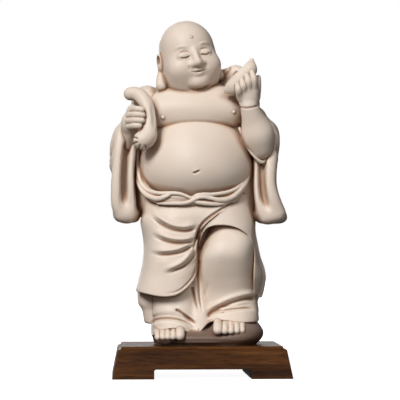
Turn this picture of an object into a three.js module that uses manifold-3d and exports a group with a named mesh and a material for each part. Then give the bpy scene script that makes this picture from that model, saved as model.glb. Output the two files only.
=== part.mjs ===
// A standing budai figure in ivory porcelain on a dark wood plinth.
// Millimetres, +Z up, the figure faces -Y, and the origin is the middle of the plinth's underside.
import * as THREE from "three";
import { edgeTable, triTable } from "three/addons/objects/MarchingCubes.js";
import { mergeVertices } from "three/addons/utils/BufferGeometryUtils.js";
import Module from "manifold-3d";

// Driving dimensions
const FIGURE_HEIGHT = 322.4;
const FIGURE_TURN = -3; // degrees about Z, against the plinth
const FIGURE_X = 0; // the figure's own axis, from the plinth's middle
const FIGURE_Y = 3;
const REST_GAP = 0.3; // between the porcelain and the wood under it

const PLINTH_HEIGHT = 31;
const PLINTH_LENGTH = 174.6; // along X, at the floor
const PLINTH_DEPTH = 114; // along Y, at the floor
const PLINTH_CORNER = 1.6; // radius of its upright corners
const PLINTH_LEAN = 5.5; // how far each side leans in, up to its shoulder
const SHOULDER_HEIGHT = 3.2; // of the step under the top
const SHOULDER_STEP = 3.6; // how far that step goes in
const RUNNER_WIDTH = 40.5; // of each of the two runners that it stands on
const ARCH_HEIGHT = 9.3; // of the opening between the runners
const ARCH_RADIUS = 2;
const COVE_EDGE = { inset: 0.5, rise: 0.2 }; // of the edge that the cove under the top starts at
const COVE_SHARE = 0.75; // of the shoulder's height, which the cove takes
const CUT_PAST = 1; // how far a cut goes on past what it cuts

const SURFACE_STEP = 2.1; // size of the cells that the figure's surface is traced in
const FIGURE_FACES = 9200; // triangles left on the figure
const CARVED_WEIGHT = 6; // what the face and the hands count for, against 1 for plain cloth
const LEAST_COSINE = 0.3; // between a face before and after an edge near it is joined
const LEAST_FATNESS = 0.06; // twice a face's area over its longest side squared

const PORCELAIN = new THREE.MeshStandardMaterial({ color: 0xeadccd, roughness: 0.42, metalness: 0 });
const WALNUT = new THREE.MeshStandardMaterial({ color: 0x4a2c1b, roughness: 0.5, metalness: 0 });

// The figure's forms are written in shares of its height: in units of 1/322.4 of it.
const FORM_HEIGHT = 322.4;
const UNIT = FIGURE_HEIGHT / FORM_HEIGHT;
// The front view that the figure is drawn in is seen from this far, at this height.
const VIEW_DISTANCE = 1600;
const EYE_HEIGHT = 87.7;
const DRAWN_FROM = 5.5; // height over the underside that the drawing counts from
const HORIZON = EYE_HEIGHT - DRAWN_FROM; // the eye's height as the drawing gives it
const LAPEL_RISE = 2.4; // how far the robe's front panel stands over the wrap behind it
// The corners of the space that holds the figure, and where its face and its hands are.
const SPACE_LOW = [-98, -64, -4.4];
const SPACE_HIGH = [98, 60, 328];
const FACE = { bottom: 241, back: -5, middle: -4, halfWidth: 32 };
const HANDS = { bottom: 196, back: -25, left: -45, right: 33 };

// Forms. Each is a function of a point that gives a distance, negative inside.
function smoothMin(a, b, k) {
  const h = k > 0 ? Math.max(k - Math.abs(a - b), 0) / k : 0;
  return Math.min(a, b) - h * h * k * 0.25;
}

function smoothMax(a, b, k) {
  return -smoothMin(-a, -b, k);
}

function clamp(value, low, high) {
  return Math.min(Math.max(value, low), high);
}

// Forms joined, with their creases filled to a width k.
function blend(k, ...forms) {
  return (x, y, z) => forms.reduce((d, form) => smoothMin(d, form(x, y, z), k), Infinity);
}

// What is inside all the forms, with its edges rounded to a width k.
function within(k, ...forms) {
  return (x, y, z) => forms.reduce((d, form) => smoothMax(d, form(x, y, z), k), -Infinity);
}

// A form with others cut out of it.
function carve(k, form, ...cuts) {
  return (x, y, z) => cuts.reduce((d, cut) => smoothMax(d, -cut(x, y, z), k), form(x, y, z));
}

// A form moved to a place and turned about x, then y, then z, in degrees.
function placed(form, at, turn = [0, 0, 0]) {
  const [a, b, c] = turn.map(THREE.MathUtils.degToRad);
  const m = new THREE.Matrix4().makeRotationFromEuler(new THREE.Euler(a, b, c, "ZYX")).elements;
  return (x, y, z) => {
    const u = x - at[0];
    const v = y - at[1];
    const w = z - at[2];
    return form(
      m[0] * u + m[1] * v + m[2] * w,
      m[4] * u + m[5] * v + m[6] * w,
      m[8] * u + m[9] * v + m[10] * w,
    );
  };
}

// A form that is only worked out near its own box, which holds all of it.
function bounded(form, low, high, margin = 6) {
  return (x, y, z) => {
    const dx = Math.max(low[0] - x, 0, x - high[0]);
    const dy = Math.max(low[1] - y, 0, y - high[1]);
    const dz = Math.max(low[2] - z, 0, z - high[2]);
    const out = Math.sqrt(dx * dx + dy * dy + dz * dz);
    return out < margin ? form(x, y, z) : out + margin;
  };
}

function ellipsoid(centre, radii, turn) {
  const [a, b, c] = radii;
  const form = (x, y, z) => {
    const u = x / a;
    const v = y / b;
    const w = z / c;
    const reach = Math.sqrt(u * u + v * v + w * w);
    const slope = Math.sqrt((u / a) ** 2 + (v / b) ** 2 + (w / c) ** 2) + 1e-9;
    return (reach * (reach - 1)) / slope;
  };
  return placed(form, centre, turn);
}

// The hull of two balls, at a with radius ra and at b with radius rb.
function cone(a, b, ra, rb) {
  const along = [b[0] - a[0], b[1] - a[1], b[2] - a[2]];
  const length = Math.hypot(...along);
  const taper = ra - rb;
  if (length <= Math.abs(taper) + 1e-6) {
    const [centre, radius] = taper > 0 ? [a, ra] : [b, rb];
    return (x, y, z) => Math.hypot(x - centre[0], y - centre[1], z - centre[2]) - radius;
  }
  const flank = Math.sqrt(length * length - taper * taper);
  return (x, y, z) => {
    const px = x - a[0];
    const py = y - a[1];
    const pz = z - a[2];
    const h = (px * along[0] + py * along[1] + pz * along[2]) / length;
    const side = Math.sqrt(Math.max(px * px + py * py + pz * pz - h * h, 0));
    const t = (h * flank - side * taper) / length;
    if (t <= 0) {
      return Math.sqrt(side * side + h * h) - ra;
    }
    if (t >= flank) {
      return Math.sqrt(side * side + (h - length) ** 2) - rb;
    }
    return (side * flank + h * taper) / length - ra;
  };
}

// Points along a smooth curve through the given ones, which hold any number of values each.
function smoothCurve(points, steps) {
  const mirror = (a, b) => a.map((value, i) => 2 * value - b[i]);
  const last = points.length - 1;
  const p = [
    mirror(points[0], points[1]),
    ...points,
    mirror(points[last], points[last - 1]),
  ];
  const curve = [];
  for (let i = 1; i <= last; i++) {
    for (let s = 0; s < steps; s++) {
      const t = s / steps;
      curve.push(p[i].map((_, n) => {
        const [a, b, c, d] = [p[i - 1][n], p[i][n], p[i + 1][n], p[i + 2][n]];
        const bend = (2 * a - 5 * b + 4 * c - d) * t * t + (3 * b - a - 3 * c + d) * t ** 3;
        return 0.5 * (2 * b + (c - a) * t + bend);
      }));
    }
  }
  curve.push(points[last]);
  return curve;
}

// A round tube through points (x, y, z, radius); squash scales space, for a flattened section.
function tube(points, steps = 4, squash = [1, 1, 1]) {
  const path = smoothCurve(points, steps);
  const scaled = (p) => squash.map((s, i) => p[i] * s);
  const limbs = path.slice(1).map((b, i) => cone(scaled(path[i]), scaled(b), path[i][3], b[3]));
  const fat = Math.max(...path.map((p) => p[3])) / Math.min(...squash);
  const low = squash.map((_, i) => Math.min(...path.map((p) => p[i])) - fat);
  const high = squash.map((_, i) => Math.max(...path.map((p) => p[i])) + fat);
  const whole = blend(0, ...limbs);
  const most = Math.max(...squash);
  return bounded((x, y, z) => whole(x * squash[0], y * squash[1], z * squash[2]) / most, low, high);
}

// An upright form through sections (z, centre x, centre y, half width, half depth).
// power 2 makes them ellipses, and more makes them squarer; cap rounds the two ends.
function loft(sections, power = 2, cap = 3) {
  const sorted = [...sections].sort((a, b) => a[0] - b[0]);
  const path = smoothCurve(sorted, 8);
  const bottom = path[0][0];
  const top = path[path.length - 1][0];
  return (x, y, z) => {
    let i = 1;
    while (i < path.length - 1 && path[i][0] < z) {
      i++;
    }
    const a = path[i - 1];
    const b = path[i];
    const t = clamp((z - a[0]) / (b[0] - a[0]), 0, 1);
    const rx = a[3] + t * (b[3] - a[3]);
    const ry = a[4] + t * (b[4] - a[4]);
    const u = Math.abs(x - a[1] - t * (b[1] - a[1])) / rx;
    const v = Math.abs(y - a[2] - t * (b[2] - a[2])) / ry;
    const reach = (u ** power + v ** power) ** (1 / power);
    const slope = Math.sqrt((u / rx) ** 2 + (v / ry) ** 2) + 1e-9;
    const side = (reach - 1) * Math.min(reach / slope, Math.max(rx, ry));
    return smoothMax(side, Math.max(bottom - z, z - top), cap);
  };
}

// A point on the sight line through (u, v) of the front view, y behind the figure's axis.
function seen(u, v, y, ...more) {
  const k = 1 + y / VIEW_DISTANCE;
  return [u * k, y, EYE_HEIGHT + (v - HORIZON) * k, ...more];
}

// A section for loft, with its centre at (u, v) of the front view.
function level(v, u, y, halfWidth, halfDepth) {
  const [x, , z] = seen(u, v, y);
  return [z, x, y, halfWidth, halfDepth];
}

// The two coordinates that a view shows, and the depth away from the viewer.
function pick(view, x, y, z) {
  if (view === "front") {
    const k = 1 + y / VIEW_DISTANCE;
    return [x / k, HORIZON + (z - EYE_HEIGHT) / k, y];
  }
  if (view === "back") {
    return [-x, z, -y];
  }
  if (view === "left") {
    return [-y, z, x];
  }
  if (view === "right") {
    return [y, z, -x];
  }
  return [x, z, y];
}

// A smooth line drawn in a view. near gives the distance to it, the side, and the share along it.
class Line {
  constructor(points, steps = 5) {
    const path = smoothCurve(points, steps);
    this.us = Float64Array.from(path, (p) => p[0]);
    this.vs = Float64Array.from(path, (p) => p[1]);
    this.at = new Float64Array(path.length);
    for (let i = 1; i < path.length; i++) {
      const gap = Math.hypot(this.us[i] - this.us[i - 1], this.vs[i] - this.vs[i - 1]);
      this.at[i] = this.at[i - 1] + gap;
    }
    const total = this.at[path.length - 1];
    this.at = this.at.map((length) => length / total);
    this.left = Math.min(...this.us);
    this.right = Math.max(...this.us);
    this.bottom = Math.min(...this.vs);
    this.top = Math.max(...this.vs);
  }

  outside(u, v) {
    const du = Math.max(this.left - u, 0, u - this.right);
    const dv = Math.max(this.bottom - v, 0, v - this.top);
    return Math.sqrt(du * du + dv * dv);
  }

  near(u, v) {
    const { us, vs, at } = this;
    let best = Infinity;
    let side = 1;
    let along = 0;
    for (let i = 1; i < us.length; i++) {
      const eu = us[i] - us[i - 1];
      const ev = vs[i] - vs[i - 1];
      const pu = u - us[i - 1];
      const pv = v - vs[i - 1];
      const t = Math.min(Math.max((pu * eu + pv * ev) / (eu * eu + ev * ev + 1e-12), 0), 1);
      const du = pu - t * eu;
      const dv = pv - t * ev;
      const square = du * du + dv * dv;
      if (square < best) {
        best = square;
        side = eu * pv - ev * pu < 0 ? -1 : 1;
        along = at[i - 1] + t * (at[i] - at[i - 1]);
      }
    }
    return { distance: Math.sqrt(best), side, along };
  }
}

// 1 along a line and 0 at its ends; ends are the shares that fade, at the start and the end.
function fade(t, ends) {
  const start = ends[0] > 0 ? clamp(t / ends[0], 0, 1) : 1;
  const end = ends[1] > 0 ? clamp((1 - t) / ends[1], 0, 1) : 1;
  const s = start * end;
  return s * s * (3 - 2 * s);
}

// A groove along a line drawn in a view. A positive lip raises the line's left-hand side and
// hollows its right-hand side. The groove stops past a depth away from the viewer, deepest.
function crease(points, width, depth, options = {}) {
  const { view = "front", ends = [0.25, 0.25], deepest = 0, lip = 0 } = options;
  const line = new Line(points);
  const reach = width * 2.6;
  const run = 8;
  return (x, y, z) => {
    const [u, v, w] = pick(view, x, y, z);
    if (w > deepest + run || line.outside(u, v) > reach) {
      return 0;
    }
    const { distance, side, along } = line.near(u, v);
    const strength = fade(along, ends) * clamp((deepest + run - w) / run, 0, 1);
    const q = clamp(1 - (distance / width) ** 2, 0, 1);
    const m = (side * distance) / width;
    const ridge = Math.exp(-(((m - 1.1) / 0.8) ** 2));
    const hollow = Math.exp(-(((m + 0.9) / 0.9) ** 2));
    return strength * (depth * q * q - lip * ridge + 0.5 * lip * hollow);
  };
}

// A form with creases pressed into it.
function pressed(form, ...creases) {
  return (x, y, z) => creases.reduce((d, push) => d + push(x, y, z), form(x, y, z));
}

// Everything that a closed smooth outline covers in the front view.
function region(points) {
  const line = new Line([...points, points[0]], 6);
  const margin = 12;
  return (x, y, z) => {
    const [u, v] = pick("front", x, y, z);
    const out = line.outside(u, v);
    if (out >= margin) {
      return out;
    }
    const { us, vs } = line;
    let inside = false;
    for (let i = 1; i < us.length; i++) {
      const crosses = vs[i - 1] > v !== vs[i] > v;
      if (crosses && u < us[i - 1] + ((v - vs[i - 1]) / (vs[i] - vs[i - 1])) * (us[i] - us[i - 1])) {
        inside = !inside;
      }
    }
    const { distance } = line.near(u, v);
    return inside ? -distance : distance;
  };
}

function above(height) {
  return (x, y, z) => height - z;
}

// The bare chest and the round belly, with the navel.
function torso() {
  let belly = blend(
    12, ellipsoid(seen(-3.7, 176.9, -4), [55.5, 47, 45]),
    ellipsoid(seen(-3.7, 164, -4), [52, 47, 32.5]),
  );
  const navel = crease(
    [[-8.4, 164.2], [-4, 165.2], [1.4, 167.8]],
    1.8, 1.5, { ends: [0.45, 0.45], deepest: 0, lip: 0.4 },
  );
  belly = pressed(belly, navel);
  let chest = blend(
    10, ellipsoid(seen(-4, 229.4, 2), [52, 30, 27]),
    ellipsoid(seen(-27, 225.6, -12), [28, 19, 19]),
    ellipsoid(seen(21, 227.6, -12), [27, 19, 19]),
    ellipsoid(seen(-3, 225.2, -12.5), [26, 19.5, 18.6]),
  );
  const nipples = blend(
    0, ellipsoid(seen(-37, 220.4, -28.6), [2, 1.8, 2]),
    ellipsoid(seen(34, 225.9, -28.1), [2, 1.8, 2]),
  );
  chest = blend(0.8, chest, nipples);
  return blend(1.5, belly, chest);
}

// The robe down the back, its collar round the neck, and its broad folds.
function robeBack() {
  const back = loft([
    level(253.4, -4, 14, 30, 18), level(243.4, -7, 12, 47, 25), level(229.4, -8, 11, 55, 31),
    level(207.4, -6, 12, 61, 34), level(177.4, -5, 12, 62, 35), level(137.4, -4, 9, 61, 37),
    level(115.4, -2.5, 11, 54.5, 34), level(97.4, 0.4, 13, 54, 32), level(62.4, 1.8, 14, 57.5, 32),
    level(41.4, 1, 14, 58.6, 33),
  ], 2.3, 4);
  const collar = tube([
    seen(-37, 241.4, 2, 5), seen(-32, 251.4, 16, 6), seen(-18, 257.4, 25, 7),
    seen(0, 259.4, 27, 7.5), seen(18, 259.4, 22, 8), seen(29, 262, 13, 8.4),
    seen(37.4, 264, 6, 8.7), seen(46.5, 252.4, 0, 9),
  ], 6);
  const folds = [
    crease(
      [[-30, 245], [-14, 217], [4, 203], [26, 199]],
      7, 3, { view: "back", ends: [0.2, 0.3], deepest: 0, lip: 1.6 },
    ),
    crease(
      [[-44, 213], [-22, 183], [2, 167], [30, 163], [48, 173]],
      8, 3.4, { view: "back", ends: [0.25, 0.25], deepest: 0, lip: 1.8 },
    ),
    crease(
      [[-46, 173], [-26, 143], [-2, 127], [24, 127], [46, 141]],
      8, 3.2, { view: "back", ends: [0.25, 0.25], deepest: 0, lip: 1.8 },
    ),
    crease(
      [[-36, 127], [-34, 97], [-38, 51]],
      7, 3.4, { view: "back", ends: [0.3, 0], deepest: 0, lip: 1.6 },
    ),
    crease(
      [[-12, 115], [-10, 87], [-14, 51]],
      8, 3.8, { view: "back", ends: [0.3, 0], deepest: 0, lip: 1.8 },
    ),
    crease(
      [[16, 111], [14, 85], [18, 51]],
      7, 3.4, { view: "back", ends: [0.3, 0], deepest: 0, lip: -1.8 },
    ),
    crease(
      [[38, 123], [34, 91], [40, 51]],
      7, 3.4, { view: "back", ends: [0.3, 0], deepest: 0, lip: -1.6 },
    ),
    crease(
      [[8, 125], [2, 93], [0, 49]],
      7, 3, { view: "right", ends: [0.3, 0], deepest: 0, lip: 0.9 },
    ),
    crease(
      [[26, 145], [22, 103], [24, 49]],
      7, 3, { view: "right", ends: [0.3, 0], deepest: 0, lip: 0.9 },
    ),
    crease(
      [[-8, 125], [-2, 93], [0, 49]],
      7, 3, { view: "left", ends: [0.3, 0], deepest: 0, lip: 0.9 },
    ),
    crease(
      [[-26, 145], [-22, 103], [-24, 49]],
      7, 3, { view: "left", ends: [0.3, 0], deepest: 0, lip: 0.9 },
    ),
  ];
  const gathers = [
    crease(
      [[39, 268.4], [33, 261.4], [25, 255.4]],
      2.4, 1.8, { ends: [0.2, 0.2], deepest: 24, lip: 0.8 },
    ),
    crease(
      [[32, 271.4], [27, 264.4], [21, 260.4]],
      2.2, 1.5, { ends: [0.2, 0.2], deepest: 24, lip: 0.7 },
    ),
  ];
  return blend(4, pressed(back, ...folds), pressed(collar, ...gathers));
}

// The hanging sleeve on the left-hand side of the front view.
function leftSleeve() {
  const body = loft([
    level(233.4, -62.5, 8, 4.6, 10), level(219.4, -67.6, 6, 8.4, 15), level(207.4, -74, 4, 12, 21),
    level(191.4, -76, 3, 15, 24), level(172.4, -76, 3, 15, 24), level(155.4, -73.5, 3, 13, 24),
    level(132.4, -73.5, 3, 14, 25), level(114.9, -72.5, 3, 13.5, 25),
  ], 2.4, 9);
  const ridgeA = tube([
    seen(-77, 209.4, -18, 4), seen(-80.2, 192.4, -23, 5), seen(-82, 172.4, -25, 5.4),
    seen(-83, 152.4, -25, 5.8), seen(-82.5, 134.4, -23, 6.2), seen(-78, 124.4, -20, 7),
  ], 6);
  const ridgeB = tube([
    seen(-67, 191.4, -17, 4), seen(-69, 177.4, -20, 4.6), seen(-70.2, 161.4, -22, 5),
    seen(-69, 145.4, -21, 5.4), seen(-67.5, 131.4, -19, 5.6), seen(-71.5, 123.4, -18, 7),
  ], 6);
  const sleeve = blend(7, body, ridgeA, ridgeB);
  const fold = crease([
    [-71.5, 197.4], [-74.2, 179.4], [-75.4, 159.4], [-75.6, 143.4], [-76.6, 128.4],
  ], 6, 4.4, { ends: [0.1, 0.3], deepest: 0 });
  const side = crease(
    [[-60.5, 187.4], [-62.5, 172.4], [-62.8, 157.4], [-61.5, 139.4], [-62, 123.4]],
    4.8, 4, { ends: [0.1, 0.15], deepest: 4 },
  );
  const folds = [
    crease(
      [[14, 225], [6, 203], [8, 171], [2, 135]],
      7, 2, { view: "left", ends: [0.2, 0.2], deepest: -30, lip: 0.8 },
    ),
    crease(
      [[-10, 215], [-8, 190], [-12, 160], [-8, 131]],
      6, 1.8, { view: "left", ends: [0.2, 0.2], deepest: -30, lip: -0.7 },
    ),
    crease(
      [[22, 201], [14, 189], [-2, 183], [-16, 187]],
      6, 2.2, { view: "left", ends: [0.3, 0.3], deepest: -30, lip: 0.5 },
    ),
    crease(
      [[70, 217], [66, 187], [70, 157], [68, 133]],
      6, 3.2, { view: "back", ends: [0.2, 0.1], deepest: 0, lip: 1.6 },
    ),
  ];
  return pressed(sleeve, fold, side, ...folds);
}

// The hanging sleeve on the right-hand side of the front view.
function rightSleeve() {
  const body = loft([
    level(231.4, 57, 6, 6, 12), level(220.4, 59.5, 5, 8.5, 16), level(211.4, 65, 4, 12.5, 20),
    level(199.4, 67.3, 4, 13.7, 23), level(182.4, 66, 3, 13.4, 24), level(165.4, 64.6, 3, 13.3, 24),
    level(147.4, 65, 3, 13.9, 24), level(132.4, 67.5, 3, 16, 25), level(120.4, 70.5, 3, 17, 25),
    level(113.9, 71, 3, 16.5, 24),
  ], 2.4, 9);
  const ridgeA = tube([
    seen(72, 191.4, -15, 4.6), seen(70.5, 172.4, -21, 5.8), seen(69.8, 153.4, -23, 6.2),
    seen(73, 138.4, -22, 6.8), seen(77.5, 125.4, -18, 7.4),
  ], 6);
  const ridgeB = tube([
    seen(56.5, 177.4, -15, 3.4), seen(56.8, 162.4, -19, 4), seen(57, 145.4, -20, 4.6),
    seen(60, 130.4, -19, 5.4), seen(67, 121.9, -17, 7),
  ], 6);
  const sleeve = blend(7, body, ridgeA, ridgeB);
  const fold = crease(
    [[62.4, 181.4], [62, 161.4], [63.6, 143.4], [66.4, 134.4], [71.5, 125.4]],
    6, 4.6, { ends: [0.1, 0.3], deepest: 0 },
  );
  const side = crease(
    [[52, 185.4], [51.4, 169.4], [51, 149.4], [53, 131.4], [56, 121.4]],
    4.8, 4.2, { ends: [0.1, 0.2], deepest: 4 },
  );
  const folds = [
    crease(
      [[-14, 225], [-6, 203], [-8, 171], [-2, 135]],
      7, 2, { view: "right", ends: [0.2, 0.2], deepest: -30, lip: -0.8 },
    ),
    crease(
      [[10, 215], [8, 190], [12, 160], [8, 131]],
      6, 1.8, { view: "right", ends: [0.2, 0.2], deepest: -30, lip: 0.7 },
    ),
    crease(
      [[-22, 201], [-14, 189], [2, 183], [16, 187]],
      6, 2.2, { view: "right", ends: [0.3, 0.3], deepest: -30, lip: -0.5 },
    ),
    crease(
      [[-66, 217], [-62, 187], [-68, 157], [-68, 133]],
      6, 3.2, { view: "back", ends: [0.2, 0.1], deepest: 0, lip: 1.6 },
    ),
  ];
  return pressed(sleeve, fold, side, ...folds);
}

// The raised forearm and elbow, and the sleeve's edge that runs round under the elbow.
function forearm() {
  const limb = blend(
    9, ellipsoid(seen(59.3, 201.4, -22), [13.8, 15, 21.5], [0, -13, 0]),
    cone(seen(60.6, 188.9, -22), seen(58, 199, -23), 8.5, 12.5),
    cone(seen(57, 206.4, -27), seen(49.3, 231.4, -37), 13.2, 8.6),
  );
  const rim = tube([
    seen(39.8, 209.4, -20, 1.4), seen(46.4, 193.4, -26, 1.7), seen(54.2, 182.4, -27, 1.9),
    seen(62.2, 175.6, -24, 1.8), seen(69, 182.9, -20, 1.7), seen(73.6, 192.4, -16, 1.6),
    seen(75, 203.4, -12, 1.5), seen(71.5, 214.4, -8, 1.3),
  ], 6);
  const wrist = crease(
    [[38, 231], [48, 229.8], [59, 232]],
    1.8, 0.8, { ends: [0.1, 0.1], deepest: -20 },
  );
  return blend(1, pressed(limb, wrist), rim);
}

// The hand under the ingot, its fingers folded up over the front of it.
function fistRight() {
  const palm = blend(
    4, ellipsoid(seen(48.6, 238.9, -37), [10.4, 8, 9]),
    ellipsoid(seen(48.8, 245.9, -38), [10.6, 7.4, 8.6]),
  );
  const fingers = [];
  for (const [root, middle, tip, r] of [
    [[40.2, 240.9], [38.6, 247.9], [37.6, 253.4], 3],
    [[44.6, 243.9], [43.4, 251.6], [42, 257.8], 3.2],
    [[49.6, 245.9], [48.6, 255.6], [46.8, 262.2], 3.3],
    [[54.8, 246.9], [54.2, 257.9], [52.2, 265.8], 3.2],
  ]) {
    fingers.push(
      tube(
        [seen(...root, -41, r * 1.1), seen(...middle, -47, r * 1.05), seen(...tip, -45, r * 0.8)],
        5,
      ),
    );
  }
  const thumb = tube([
    seen(56.6, 240.4, -33, 4), seen(58.1, 251.4, -31, 3.5), seen(58.5, 260.4, -32, 2.7),
  ], 5);
  return blend(3, blend(3, palm, thumb), blend(1.2, ...fingers));
}

// A boat-shaped ingot in its own frame: x along it, z out of its top; set into the hand.
function ingot() {
  const hull = ellipsoid([-0.5, 0, 0.4], [19.8, 9.5, 10.8]);
  const deck = (x, y, z) => z - (3.4 + 0.006 * x * x);
  const boat = within(1.2, hull, deck);
  const dome = ellipsoid([0, 0, 3], [9, 5.5, 3.4]);
  const tips = blend(
    0, cone([-11, 0, -1], [-19, 0, 3.2], 7.5, 2.2),
    cone([12, 0, -1], [20.2, 0, 4.8], 6.4, 2.3),
  );
  return placed(blend(2.5, blend(1.5, boat, dome), tips), seen(41.4, 259.8, -37), [-24, -47, 0]);
}

// The roll that the left-hand fist holds, bent over at its top and gathered at its foot.
function roll() {
  const rod = tube([
    seen(-69.8, 244, -24, 6.5), seen(-64.5, 244, -26, 7), seen(-58.5, 240.5, -30, 7.2),
    seen(-53.4, 232.5, -34, 7), seen(-50.9, 221.4, -38, 6.6), seen(-50.6, 209.4, -41, 7.2),
    seen(-52.5, 200.9, -43, 9.2), seen(-57, 197.4, -43.5, 9.6),
  ], 8);
  const mouth = cone(seen(-75, 237.4, -30), seen(-67.3, 235.4, -31), 2.2, 2.6);
  const gathers = [
    crease([[-61, 198.4], [-67, 200.9]], 1.7, 1.1, { ends: [0.4, 0.1], deepest: -38 }),
    crease([[-61, 195.9], [-67, 193.9]], 1.7, 1.1, { ends: [0.4, 0.1], deepest: -38 }),
    crease([[-59, 194.4], [-61.5, 187.4]], 1.7, 1.1, { ends: [0.4, 0.1], deepest: -38 }),
    crease([[-55.5, 193.9], [-53.5, 187.4]], 1.7, 1.1, { ends: [0.4, 0.1], deepest: -38 }),
    crease([[-49, 234.4], [-47, 222.4], [-46, 207.4]], 2.6, 1, { ends: [0.3, 0.3], deepest: -20 }),
  ];
  return carve(1.2, pressed(rod, ...gathers), mouth);
}

// The hand that grips the roll, its fingers laid round the front of it.
function fistLeft() {
  const palm = blend(
    4, ellipsoid(seen(-70.5, 215.4, -29), [8.2, 9, 9.8]),
    ellipsoid(seen(-67.5, 224.9, -31), [6.2, 8, 8.5]),
  );
  const fingers = [];
  for (const [root, tip, r] of [
    [[-67.5, 228.6], [-58, 228.2], 2.9],
    [[-70.5, 222.8], [-57.2, 222.8], 3.1],
    [[-71.5, 217], [-57.6, 217.2], 3.1],
    [[-71.2, 211.2], [-60.4, 212], 2.9],
  ]) {
    const middle = [(root[0] + tip[0]) / 2, (root[1] + tip[1]) / 2 + 0.5];
    fingers.push(
      tube([seen(...root, -38, r), seen(...middle, -45, r * 1.05), seen(...tip, -46.5, r * 0.9)], 6),
    );
  }
  const wrist = tube([
    seen(-71, 210.4, -26, 7.4), seen(-70.5, 203.4, -22, 7), seen(-71, 194.4, -14, 7),
  ], 6);
  return blend(1.4, blend(4, palm, wrist), blend(0.6, ...fingers));
}

// The sash under the belly: soft bands that turn up at the sides and cross in front.
function sash() {
  const flat = [1, 1.3, 1];
  const back = tube([
    seen(-60, 168, -10, 3), seen(-57.5, 154, -18, 4), seen(-50, 143.4, -28, 5),
    seen(-38, 138.4, -35, 5.4), seen(-22, 136.6, -39, 5.2), seen(-6, 136.2, -40, 4.6),
    seen(10, 136.4, -39.5, 5), seen(26, 138.4, -36, 5.2), seen(38, 146.4, -28, 5),
    seen(45.5, 158.4, -18, 4.4), seen(48.5, 170.4, -11, 3.2),
  ], 8);
  const band = tube([
    seen(-58, 156, -19.5, 2.6), seen(-50, 146.4, -30, 3), seen(-38, 141.6, -37.5, 3.1),
    seen(-26, 141, -41.2, 3.2), seen(-15, 140, -42.8, 2.8), seen(-8, 138.4, -43.4, 2.2),
  ], 6);
  const brow = tube([
    seen(-62.3, 187.4, -6.5, 1.5), seen(-62.4, 173.4, -10.5, 1.8), seen(-61, 162, -18, 2),
    seen(-58.5, 154.4, -24, 2), seen(-53, 148, -31, 2), seen(-45, 145, -37.5, 2),
    seen(-38, 144.2, -41.5, 2), seen(-27, 144.4, -44.8, 1.9), seen(-20, 143.8, -45.8, 1.8),
    seen(-15, 142.2, -46.2, 1.6), seen(-9, 139.6, -46.4, 1.4), seen(-5, 137.6, -46, 1),
  ], 6, flat);
  const foot = tube([
    seen(-62.6, 168.4, -10.5, 1.4), seen(-61.8, 157.4, -18.5, 1.9), seen(-59, 149.4, -25.5, 2.3),
    seen(-53.5, 143, -32.5, 2.5), seen(-47, 139.8, -38, 2.6), seen(-41, 139, -41.5, 2.5),
    seen(-36, 140.4, -43.6, 2.1), seen(-31, 142.4, -44.8, 1.5),
  ], 6, flat);
  const strand = tube([
    seen(-42, 134.4, -38, 1.2), seen(-34, 134.2, -42, 1.7), seen(-26, 134.3, -44.2, 1.9),
    seen(-17, 134.3, -45.6, 2), seen(-9, 136.2, -46.6, 2), seen(-3, 139.4, -47, 1.9),
    seen(3, 140.6, -47, 1.9), seen(10, 139.6, -46.4, 2), seen(16, 138.2, -45.4, 2.2),
    seen(22, 137.6, -43.8, 2.4), seen(28, 138.4, -41.4, 2.6), seen(34, 141.4, -37.6, 2.7),
    seen(39, 146, -32.6, 2.6), seen(43, 151.6, -27, 2.4), seen(46.2, 158, -21, 2.2),
    seen(48.8, 166.4, -15, 1.8), seen(50, 174.4, -11, 1.5),
  ], 6, flat);
  const ridge = tube([
    seen(-9, 139, -45.4, 1.2), seen(-3, 142.4, -46.4, 1.7), seen(4, 143.4, -46.6, 1.7),
    seen(11, 143.2, -45.8, 1.7), seen(18, 143.8, -44.2, 1.8), seen(25, 144.8, -41.6, 1.9),
    seen(32, 146.9, -37.4, 1.9), seen(38, 150.4, -31.8, 1.8), seen(43, 156.4, -25, 1.6),
    seen(46, 164.4, -18, 1.4),
  ], 6, flat);
  const tail = tube([
    seen(-9, 137, -44.6, 1), seen(-3, 135.4, -46, 1.8), seen(4, 134.4, -45.8, 2.1),
    seen(12, 133.7, -44.8, 2.1), seen(20, 133.8, -43, 2), seen(28, 135.4, -39.6, 1.8),
    seen(35, 138.4, -34.8, 1.2),
  ], 6, flat);
  return blend(0.9, back, band, brow, foot, strand, ridge, tail);
}

// The round mass of the robe over the right-hand leg, before its hem is cut.
function wrapMass() {
  return loft([
    level(143.4, 8, -3, 42, 29), level(132.4, 13, -4, 38, 35), level(117.4, 19, -6, 35.5, 38),
    level(102.4, 24.6, -8, 32.1, 39), level(82.4, 29.8, -8, 30.5, 38),
    level(62.4, 31.5, -3, 32.8, 37), level(49.4, 31.5, 2, 31.4, 34), level(41.8, 30, 4, 31, 32),
  ], 2.2, 2);
}

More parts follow.
